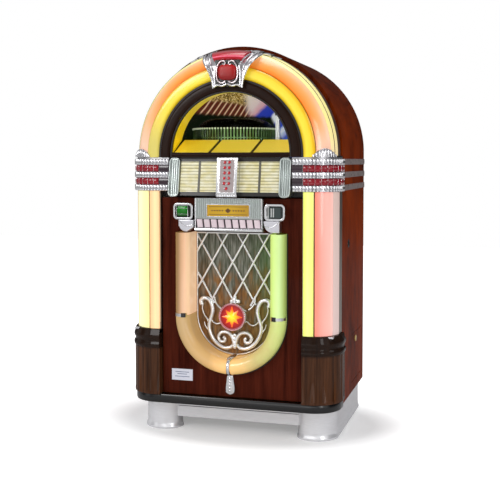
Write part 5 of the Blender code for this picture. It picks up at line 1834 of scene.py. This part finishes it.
def make_grille():
    """Cast grille: diamond lattice above, scrolls and beads round the medallion, all on one thin frame."""
    plane = -0.2220
    half = CLOTH_HIGH.x - 0.0015
    wide, tall, shift, node_z = 0.0840, 0.1470, -0.0100, 0.6775
    low_z, high_z = 0.505, CLOTH_HIGH.z - 0.004
    bm = bmesh.new()
    for direction in (-1, 1):
        for number in range(-6, 7):
            points = []
            steps = 60
            for i in range(steps + 1):
                level = low_z + (high_z - low_z) * i / steps
                x = shift + number * wide + direction * (level - node_z) / tall * wide
                clear = math.hypot(x, level - MEDAL_Z) > 0.058 and level > 0.505 + 0.25 * abs(abs(x) - 0.055)
                if abs(x) <= half - 0.002 and clear:
                    points.append((x, level))
            if len(points) > 5:
                bar_into(bm, points, 0.0086, 0.0046, plane - (0.0035 if direction > 0 else 0.0))
    finished("grille_lattice", bm, "grille_metal", "front_door", ["grille_casting"], 50)
    bm = bmesh.new()
    frame_points = [(-half + 0.003, high_z), (-half + 0.003, BOWL_Z)]
    frame_points += arc((0, BOWL_Z), half - 0.003, 180, 360, 48)[1:] + [(half - 0.003, high_z)]
    bar_into(bm, frame_points, 0.0055, 0.0050, plane)
    bar_into(bm, [(-half + 0.001, high_z), (half - 0.001, high_z)], 0.010, 0.006, plane)
    finished("grille_frame", bm, "grille_metal", "front_door", (), 50)
    front = plane - 0.0040
    bm = bmesh.new()
    for side in SIDES:
        outer = [
            (0.136, 0.508), (0.139, 0.524), (0.126, 0.534), (0.107, 0.528), (0.0950, 0.508), (0.0915, 0.484),
            (0.0985, 0.457), (0.1060, 0.430), (0.1010, 0.397), (0.0800, 0.362), (0.0490, 0.342),
            (0.0210, 0.343), (0.004, 0.358),
        ]
        volute = [
            (0.003, 0.350), (0.006, 0.372), (0.017, 0.394), (0.036, 0.4035), (0.057, 0.3995), (0.0675, 0.383),
            (0.0585, 0.3665), (0.0435, 0.3665), (0.0400, 0.3780), (0.0480, 0.3830),
        ]
        cradle = [(0.098, 0.452), (0.088, 0.440), (0.074, 0.434), (0.060, 0.438), (0.050, 0.448)]
        upright = [(0.104, 0.424), (0.112, 0.448), (0.126, 0.468), (0.134, 0.492), (0.130, 0.514)]
        foot = [(0.112, 0.410), (0.122, 0.424), (0.126, 0.440)]
        stem = [(0.056, 0.494), (0.070, 0.506), (0.080, 0.522), (0.083, 0.540)]
        for points, steps, width, height, lift, taper in (
            (outer, 72, 0.0180, 0.0100, 0.0, 0.80),
            (volute, 60, 0.0165, 0.0105, 0.001, 0.72),
            (cradle, 30, 0.0075, 0.0070, 0.0, 0.75),
            (upright, 36, 0.0070, 0.0060, 0.0, 0.7),
            (foot, 16, 0.0060, 0.0050, 0.0, 0.6),
            (stem, 24, 0.0085, 0.0065, 0.0, 0.6),
        ):
            bar_into(bm, curve_points(mirrored(side, points), steps), width, height, front - lift, taper)
    for level, size in ((0.392, 0.0075), (0.378, 0.0095), (0.362, 0.0100), (0.348, 0.0085)):
        bead_into(bm, (0, front - 0.005, level), size, (1.0, 0.7, 1.1))
    cluster = [(0, 0.527, 0.0105), (-0.014, 0.524, 0.0070), (0.014, 0.524, 0.0070), (0, 0.542, 0.0065)]
    for x, level, size in cluster:
        bead_into(bm, (x, front - 0.001, level), size, (1.1, 0.6, 1.3))
    finished("grille_scrolls", bm, "grille_metal", "front_door", (), 60)


def make_medallion():
    """Beaded chrome housing, pink rim, red lens and a raised eight-point star."""
    centre = (0, MEDAL_HIGH.y, MEDAL_Z)
    forward = (0, -1, 0)
    housing = [
        (0.0360, -0.038), (0.0545, -0.038), (0.0545, 0.004), (0.0525, 0.0080), (0.0500, 0.0085),
        (0.0482, 0.006), (0.0482, -0.034), (0.0360, -0.034),
    ]
    bm = new(turned_into, housing, centre, forward, 64)
    finished("medallion_housing", bm, "cast_chrome", "front_door", (), 40)
    bm = bmesh.new()
    count = 40
    for i in range(count):
        angle = 2 * math.pi * i / count
        place = (0.0510 * math.cos(angle), MEDAL_HIGH.y - 0.0085, MEDAL_Z + 0.0510 * math.sin(angle))
        bead_into(bm, place, 0.0030)
    finished("medallion_beads", bm, "medal_pink", "front_door", (), 60)
    rim = [
        (0.0462, 0.0), (0.0481, 0.0), (0.0481, 0.0078), (0.0476, 0.0090), (0.0468, 0.0088), (0.0462, 0.0070)
    ]
    bm = new(turned_into, rim, centre, forward, 64)
    finished("medallion_rim", bm, "medal_pink", "front_door", (), 50)
    dome = [(0, 0.0002), (0.0460, 0.0002), (0.0460, 0.0066), (0.038, 0.0078), (0.020, 0.0086), (0, 0.0090)]
    bm = new(turned_into, dome, centre, forward, 64)
    finished("medallion_dome", bm, "medal_red", "front_door", ["medallion_lens"], 50)
    bm = bmesh.new()
    points = 8
    tips = []
    for i in range(points * 2):
        angle = math.pi * i / points + math.pi / 2
        radius = (0.0425, 0.0375)[i // 2 % 2] if i % 2 == 0 else 0.0230
        tips.append((radius * math.cos(angle), MEDAL_Z + radius * math.sin(angle)))
    lift = MEDAL_HIGH.y - 0.0078
    peak = bm.verts.new((0, lift - 0.0050, MEDAL_Z))
    under = bm.verts.new((0, lift + 0.001, MEDAL_Z))
    ring = [bm.verts.new((x, lift, z)) for x, z in tips]
    for i in range(points * 2):
        following = (i + 1) % (points * 2)
        bm.faces.new((ring[i], ring[following], peak))
        bm.faces.new((ring[following], ring[i], under))
    finished("medallion_star", bm, "star_orange", "front_door", (), 5)


def make_pendant():
    """Strap over the light tube at its lowest point, ending in a cast paddle."""
    tube_z = BOWL_Z - TUBE_MID
    middle = TUBE_CENTRE_Y
    reach = TUBE_HALF + 0.0018
    rings = []
    path = [(-0.2250, tube_z + reach)]
    path += arc((middle, tube_z), reach, 90, 270, 28)
    path += [(-0.2900, tube_z - reach)]
    for index, (y, z) in enumerate(path):
        out = Vector((0, y - middle, z - tube_z)).normalized()
        if y > middle:
            out = Vector((0, 0, 1)) if z > tube_z else Vector((0, 0, -1))
        share = index / (len(path) - 1)
        width = 0.0115 - 0.005 * math.sin(math.pi * share)
        ring = []
        for across, lift in ((-1, 0), (1, 0), (0.85, 0.0035), (0.4, 0.0050), (-0.4, 0.0050), (-0.85, 0.0035)):
            ring.append(Vector((across * width, y, z)) + out * lift)
        rings.append(ring)
    finished("pendant_strap", new(rings_into, rings), "cast_chrome", "front_door", (), 50)
    outline = curve_points(
        [(0.0125, 0.2500), (0.0150, 0.230), (0.0185, 0.200), (0.0160, 0.180), (0.0, 0.1715)], 20
    )
    outline = outline[:-1] + [(-x, z) for x, z in reversed(outline)]
    rings = []
    for y, shrink in ((DOOR_FRONT - 0.0006, 1.0), (-0.2900, 1.0), (-0.2935, 0.94), (-0.2952, 0.80)):
        rings.append(
            [Vector((x * shrink, y, 0.217 + (z - 0.217) * (1 - (1 - shrink) * 0.6))) for x, z in outline]
        )
    finished("pendant_paddle", new(rings_into, rings), "cast_chrome", "front_door", (), 40)
    bm = bmesh.new()
    for level in (0.188, 0.200, 0.212, 0.224, 0.236):
        bead_into(bm, (0, -0.2952, level), 0.0048, (1.3, 0.35, 0.9))
    for side in SIDES:
        line = mirrored(side, [(0.0105, 0.196), (0.0120, 0.210), (0.0095, 0.240)])
        bar_into(bm, line, 0.0026, 0.0018, -0.2948)
    finished("pendant_relief", bm, "chrome", "front_door", (), 60)


def make_coin_parts():
    """Coin casting: fluted field, name plate, a row of pearl blocks, two side housings and brackets."""
    back = PLATE_BACK
    front = COIN_LOW.y
    bm = new(
        prism_into, rounded_rect((-0.136, 0.8045), (0.136, COIN_HIGH.z), 0.004), "y", front + 0.006, back
    )
    finished("coin_plate", bm, "coin_metal", "front_door", ["coin_casting"], 30, 0.0012)
    bm = bmesh.new()
    ribs = 34
    for rib in range(ribs):
        x = -0.1275 + 0.255 * rib / (ribs - 1)
        low = 0.9075 if abs(x) < 0.088 else 0.856  # the name plate stands before the middle ones
        prism_into(bm, arc((x, front + 0.0062), 0.0031, 180, 360, 6), "z", low, 0.9285)
    finished("coin_ribs", bm, "silver", "front_door", (), 60)
    bm = bmesh.new()
    rail = [
        (front + 0.006, 0.8065), (front - 0.001, 0.8080), (front - 0.0015, 0.8125), (front + 0.0010, 0.8165),
        (front + 0.006, 0.8175),
    ]
    prism_into(bm, rail, "x", -0.1335, 0.1335)
    for x in (-0.1315, 0.1315):
        bar_into(bm, [(x, 0.818), (x, 0.9295)], 0.0055, 0.0060, front + 0.0062)
    bar_into(bm, [(-0.132, 0.9300), (0.132, 0.9300)], 0.0040, 0.0050, front + 0.0062)
    finished("coin_rails", bm, "chrome", "front_door", (), 50)
    bm = bmesh.new()
    teeth = 9
    pitch = 0.256 / teeth
    for tooth in range(teeth):
        left = -0.128 + tooth * pitch + 0.0022
        right = left + pitch - 0.0062
        lean = 0.004
        outline = [(left + lean, 0.8190), (right + lean, 0.8190), (right, 0.8500), (left, 0.8500)]
        prism_into(bm, outline, "y", front - 0.0005, front + 0.0062)
    finished("coin_teeth", bm, "pearl", "front_door", (), 30, 0.0022, 3)
    bm = new(
        prism_into,
        [(-0.130, 0.8182), (0.130, 0.8182), (0.130, 0.8515), (-0.130, 0.8515)],
        "y",
        front + 0.0052,
        front + 0.0062,
    )
    finished("coin_teeth_bed", bm, "dark_red", "front_door")
    bm = new(
        prism_into,
        rounded_rect((-0.083, 0.8625), (0.083, 0.9055), 0.003),
        "y",
        front + 0.0008,
        front + 0.0064,
    )
    finished("name_plate", bm, "name_amber", "front_door", (), 30, 0.0010)
    bm = bmesh.new()
    for low, high in (((-0.0765, 0.8685), (0.0765, 0.8700)), ((-0.0765, 0.8980), (0.0765, 0.8995))):
        prism_into(bm, [low, (high[0], low[1]), high, (low[0], high[1])], "y", front + 0.0002, front + 0.0012)
    diamond = [(0, 0.8745), (0.012, 0.8840), (0, 0.8935), (-0.012, 0.8840)]
    prism_into(bm, diamond, "y", front + 0.0002, front + 0.0012)
    for side in SIDES:
        for step in range(5):
            middle = side * (0.0215 + step * 0.0105)
            lozenge = [
                (middle - 0.0035, 0.8840), (middle, 0.8805), (middle + 0.0035, 0.8840), (middle, 0.8875)
            ]
            prism_into(bm, lozenge, "y", front + 0.0002, front + 0.0012)
    finished("name_plate_ornament", bm, "dark_brown", "front_door")
    outer = rounded_rect((-0.0865, 0.8590), (0.0865, 0.9090), 0.005)
    inner = rounded_rect((-0.0832, 0.8622), (0.0832, 0.9058), 0.003)
    bm = new(frame_into, outer, inner, front - 0.0008, front + 0.0064)
    finished("name_plate_frame", bm, "chrome", "front_door", (), 30, 0.0008)
    make_side_housing(-1)
    make_side_housing(1)
    make_brackets()
    make_return_cup()
    repaint("coin_return_flap", "dark_glass", 0.0005)


def frame_into(bm, outer, inner, start, end):
    """Flat frame between two outlines that have the same number of points."""
    count = len(outer)
    rows = []
    for outline in (outer, inner):
        for level in (start, end):
            rows.append([bm.verts.new((x, level, z)) for x, z in outline])
    front_out, back_out, front_in, back_in = rows
    for i in range(count):
        following = (i + 1) % count
        bm.faces.new((front_out[i], front_out[following], front_in[following], front_in[i]))
        bm.faces.new((back_out[i], back_out[following], back_in[following], back_in[i]))
        bm.faces.new((front_out[i], front_out[following], back_out[following], back_out[i]))
        bm.faces.new((front_in[i], front_in[following], back_in[following], back_in[i]))


def make_side_housing(side):
    """Rounded chrome housing beside the coin plate, with a window or a cup opening in it."""
    front, back = COIN_LOW.y, PLATE_BACK
    low, high = (0.1420, 0.8475), (0.2215, 0.9110)
    outer = rounded_rect(low, high, 0.016, 7)
    inner = rounded_rect((low[0] + 0.0085, low[1] + 0.0085), (high[0] - 0.0075, high[1] - 0.0080), 0.010, 7)
    bm = new(frame_into, mirrored(side, outer), mirrored(side, inner), front + 0.001, back)
    finished(
        "coin_housing_" + side_name(side), bm, "chrome", "front_door", (), 40, 0.0020, 3
    )
    if side > 0:
        return
    bm = new(prism_into, mirrored(side, inner), "y", front + 0.014, back)
    finished("credit_window_back", bm, "dark_seam", "front_door")
    lens = rounded_rect((-0.2070, 0.8600), (-0.1650, 0.8990), 0.008, 7)
    rings = []
    middle_x, middle_z = -0.1860, 0.8795
    for y, shrink in (
        (front + 0.014, 1.0), (front + 0.006, 1.0), (front + 0.003, 0.93), (front + 0.0016, 0.75)
    ):
        rings.append(
            [Vector((middle_x + (x - middle_x) * shrink, y, middle_z + (z - middle_z) * shrink))
            for x, z in lens]
        )
    finished("credit_lens", new(rings_into, rings), "lens_green", "front_door", (), 40)
    bm = bmesh.new()
    bar_into(
        bm,
        [(-0.2095, 0.8580), (-0.2095, 0.9010), (-0.1630, 0.9010), (-0.1630, 0.8580)],
        0.0030,
        0.0030,
        front + 0.006,
    )
    for level in (0.8685, 0.8905):
        bar_into(bm, [(-0.2085, level), (-0.1640, level)], 0.0012, 0.0012, front + 0.0015)
    finished("credit_lens_guard", bm, "chrome", "front_door", (), 50)


def make_return_cup():
    """Coin entry and the return cup behind its flap, in the right housing; two pale bars on the flap are
    painted reflections.
    """
    front, back = COIN_LOW.y, PLATE_BACK
    bm = new(box_into, (0.1510, front + 0.0060, 0.8570), (0.1590, back, 0.9020))
    entry = finished("coin_entry", bm, "bar_pale", "front_door", (), 30, 0.0010)
    cut_box(entry, (0.1532, -0.34, 0.866), (0.1560, -0.285, 0.896))
    outer = rounded_rect((0.1592, 0.8565), (0.2140, 0.9025), 0.004, 3)
    inner = rounded_rect((0.1602, 0.8582), (0.2062, 0.8995), 0.003, 3)
    bm = new(frame_into, outer, inner, front + 0.010, back)
    finished("return_cup", bm, "dark_glass", "front_door", (), 40)
    # painted reflection: two pale upright bars on the dark glass flap
    bm = bmesh.new()
    for x in (0.1690, 0.1775):
        bar_into(bm, [(x, 0.862), (x, 0.895)], 0.0052, 0.0020, -0.3146)
    finished("flap_painted_reflections", bm, "bar_pale", "coin_flap", (), 50)


def make_brackets():
    """Quarter-round cast brackets that carry the housings above the light tubes."""
    front, back = COIN_LOW.y + 0.002, PLATE_BACK
    for side in SIDES:
        if side < 0:
            outline = [(0.2010, 0.8465), (0.2010, 0.8220)]
            outline += arc((0.1700, 0.8300), 0.0295, -20, -95, 10) + [(0.140, 0.8180)]
        else:
            outline = [(0.2010, 0.8465), (0.2010, 0.8020), (0.1760, 0.8020)]
            outline += arc((0.1760, 0.8380), 0.0360, -95, -165, 10)
        outline.append((0.1380, 0.8465))
        bm = new(prism_into, mirrored(side, outline), "y", front, back)
        finished(
            "bracket_" + side_name(side), bm, "lavender", "front_door", (), 40, 0.0030, 3
        )
        curl = mirrored(side, [(0.196, 0.842), (0.180, 0.828), (0.160, 0.823), (0.144, 0.828)])
        bm = new(bar_into, curve_points(curl, 20), 0.0040, 0.0030, front + 0.0002)
        finished("bracket_curl_" + side_name(side), bm, "chrome", "front_door", (), 50)


def make_card():
    """Small plain card on the door, ruled and left blank."""
    front = DOOR_FRONT - 0.0012
    outline = [(-0.2440, 0.2130), (-0.1575, 0.2130), (-0.1575, 0.2580), (-0.2440, 0.2580)]
    bm = new(prism_into, outline, "y", front, DOOR_FRONT - 0.0001)
    finished("door_card", bm, "card_white", "front_door", (), 30, 0.0003)
    bm = bmesh.new()
    for level, half in ((0.2450, 0.028), (0.2370, 0.020), (0.2270, 0.030)):
        low, high = (-0.2008 - half, level), (-0.2008 + half, level + 0.0022)
        prism_into(bm, [low, (high[0], low[1]), high, (low[0], high[1])], "y", front - 0.0002, front + 0.0002)
    finished("door_card_rules", bm, "card_line", "front_door")


# ---------------------------------------------------------------- other visible nodes


def make_cash_door():
    """Wood flap in the right side, drilled for its lock."""
    low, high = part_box("cash_door")
    outline = [(low.y, low.z), (high.y, low.z), (high.y, high.z), (low.y, high.z)]
    bm = new(prism_into, outline, "x", low.x, high.x - 0.0004)
    panel = finished("cash_flap", bm, "hood_wood", "cash_door", ["cash_door"], 30, 0.0014)
    centre = (HALF, 0.150, 0.334)
    hole = new(turned_into, [(0, -0.03), (0.0105, -0.03), (0.0105, 0.02), (0, 0.02)], centre, (1, 0, 0), 28)
    cut_mesh(panel, hole)
    repaint("cash_lock", "brass", 0.0004)


def finish_inner_nodes():
    """Materials for the CAD nodes that stay in view as they are."""
    for name, paint in (
        ("cabinet_floor", "inner_wood"),
        ("back_panel", "inner_wood"),
        ("amplifier", "satin_steel"),
        ("mechanism_chassis", "satin_steel"),
        ("cash_box", "satin_steel"),
        ("grille_board", "inner_wood"),
        ("loudspeaker", "speaker_black"),
        ("turntable", "satin_steel"),
        ("tone_arm", "chrome"),
        ("gripper_arm", "chrome"),
    ):
        repaint(name, paint, 0.0006)


def main():
    make_camera()
    make_studio()
    make_floor()
    make_hood()
    make_lock_ring()
    make_side_strips()
    make_base()
    make_kick()
    make_plinths()
    make_columns()
    make_collars()
    make_lid()
    make_display()
    make_carousel()
    make_crown()
    make_finials()
    make_title_board()
    make_title_ends()
    make_selector()
    make_door()
    make_tubes()
    make_cloth()
    make_grille()
    make_medallion()
    make_pendant()
    make_coin_parts()
    make_card()
    make_cash_door()
    finish_inner_nodes()


main()
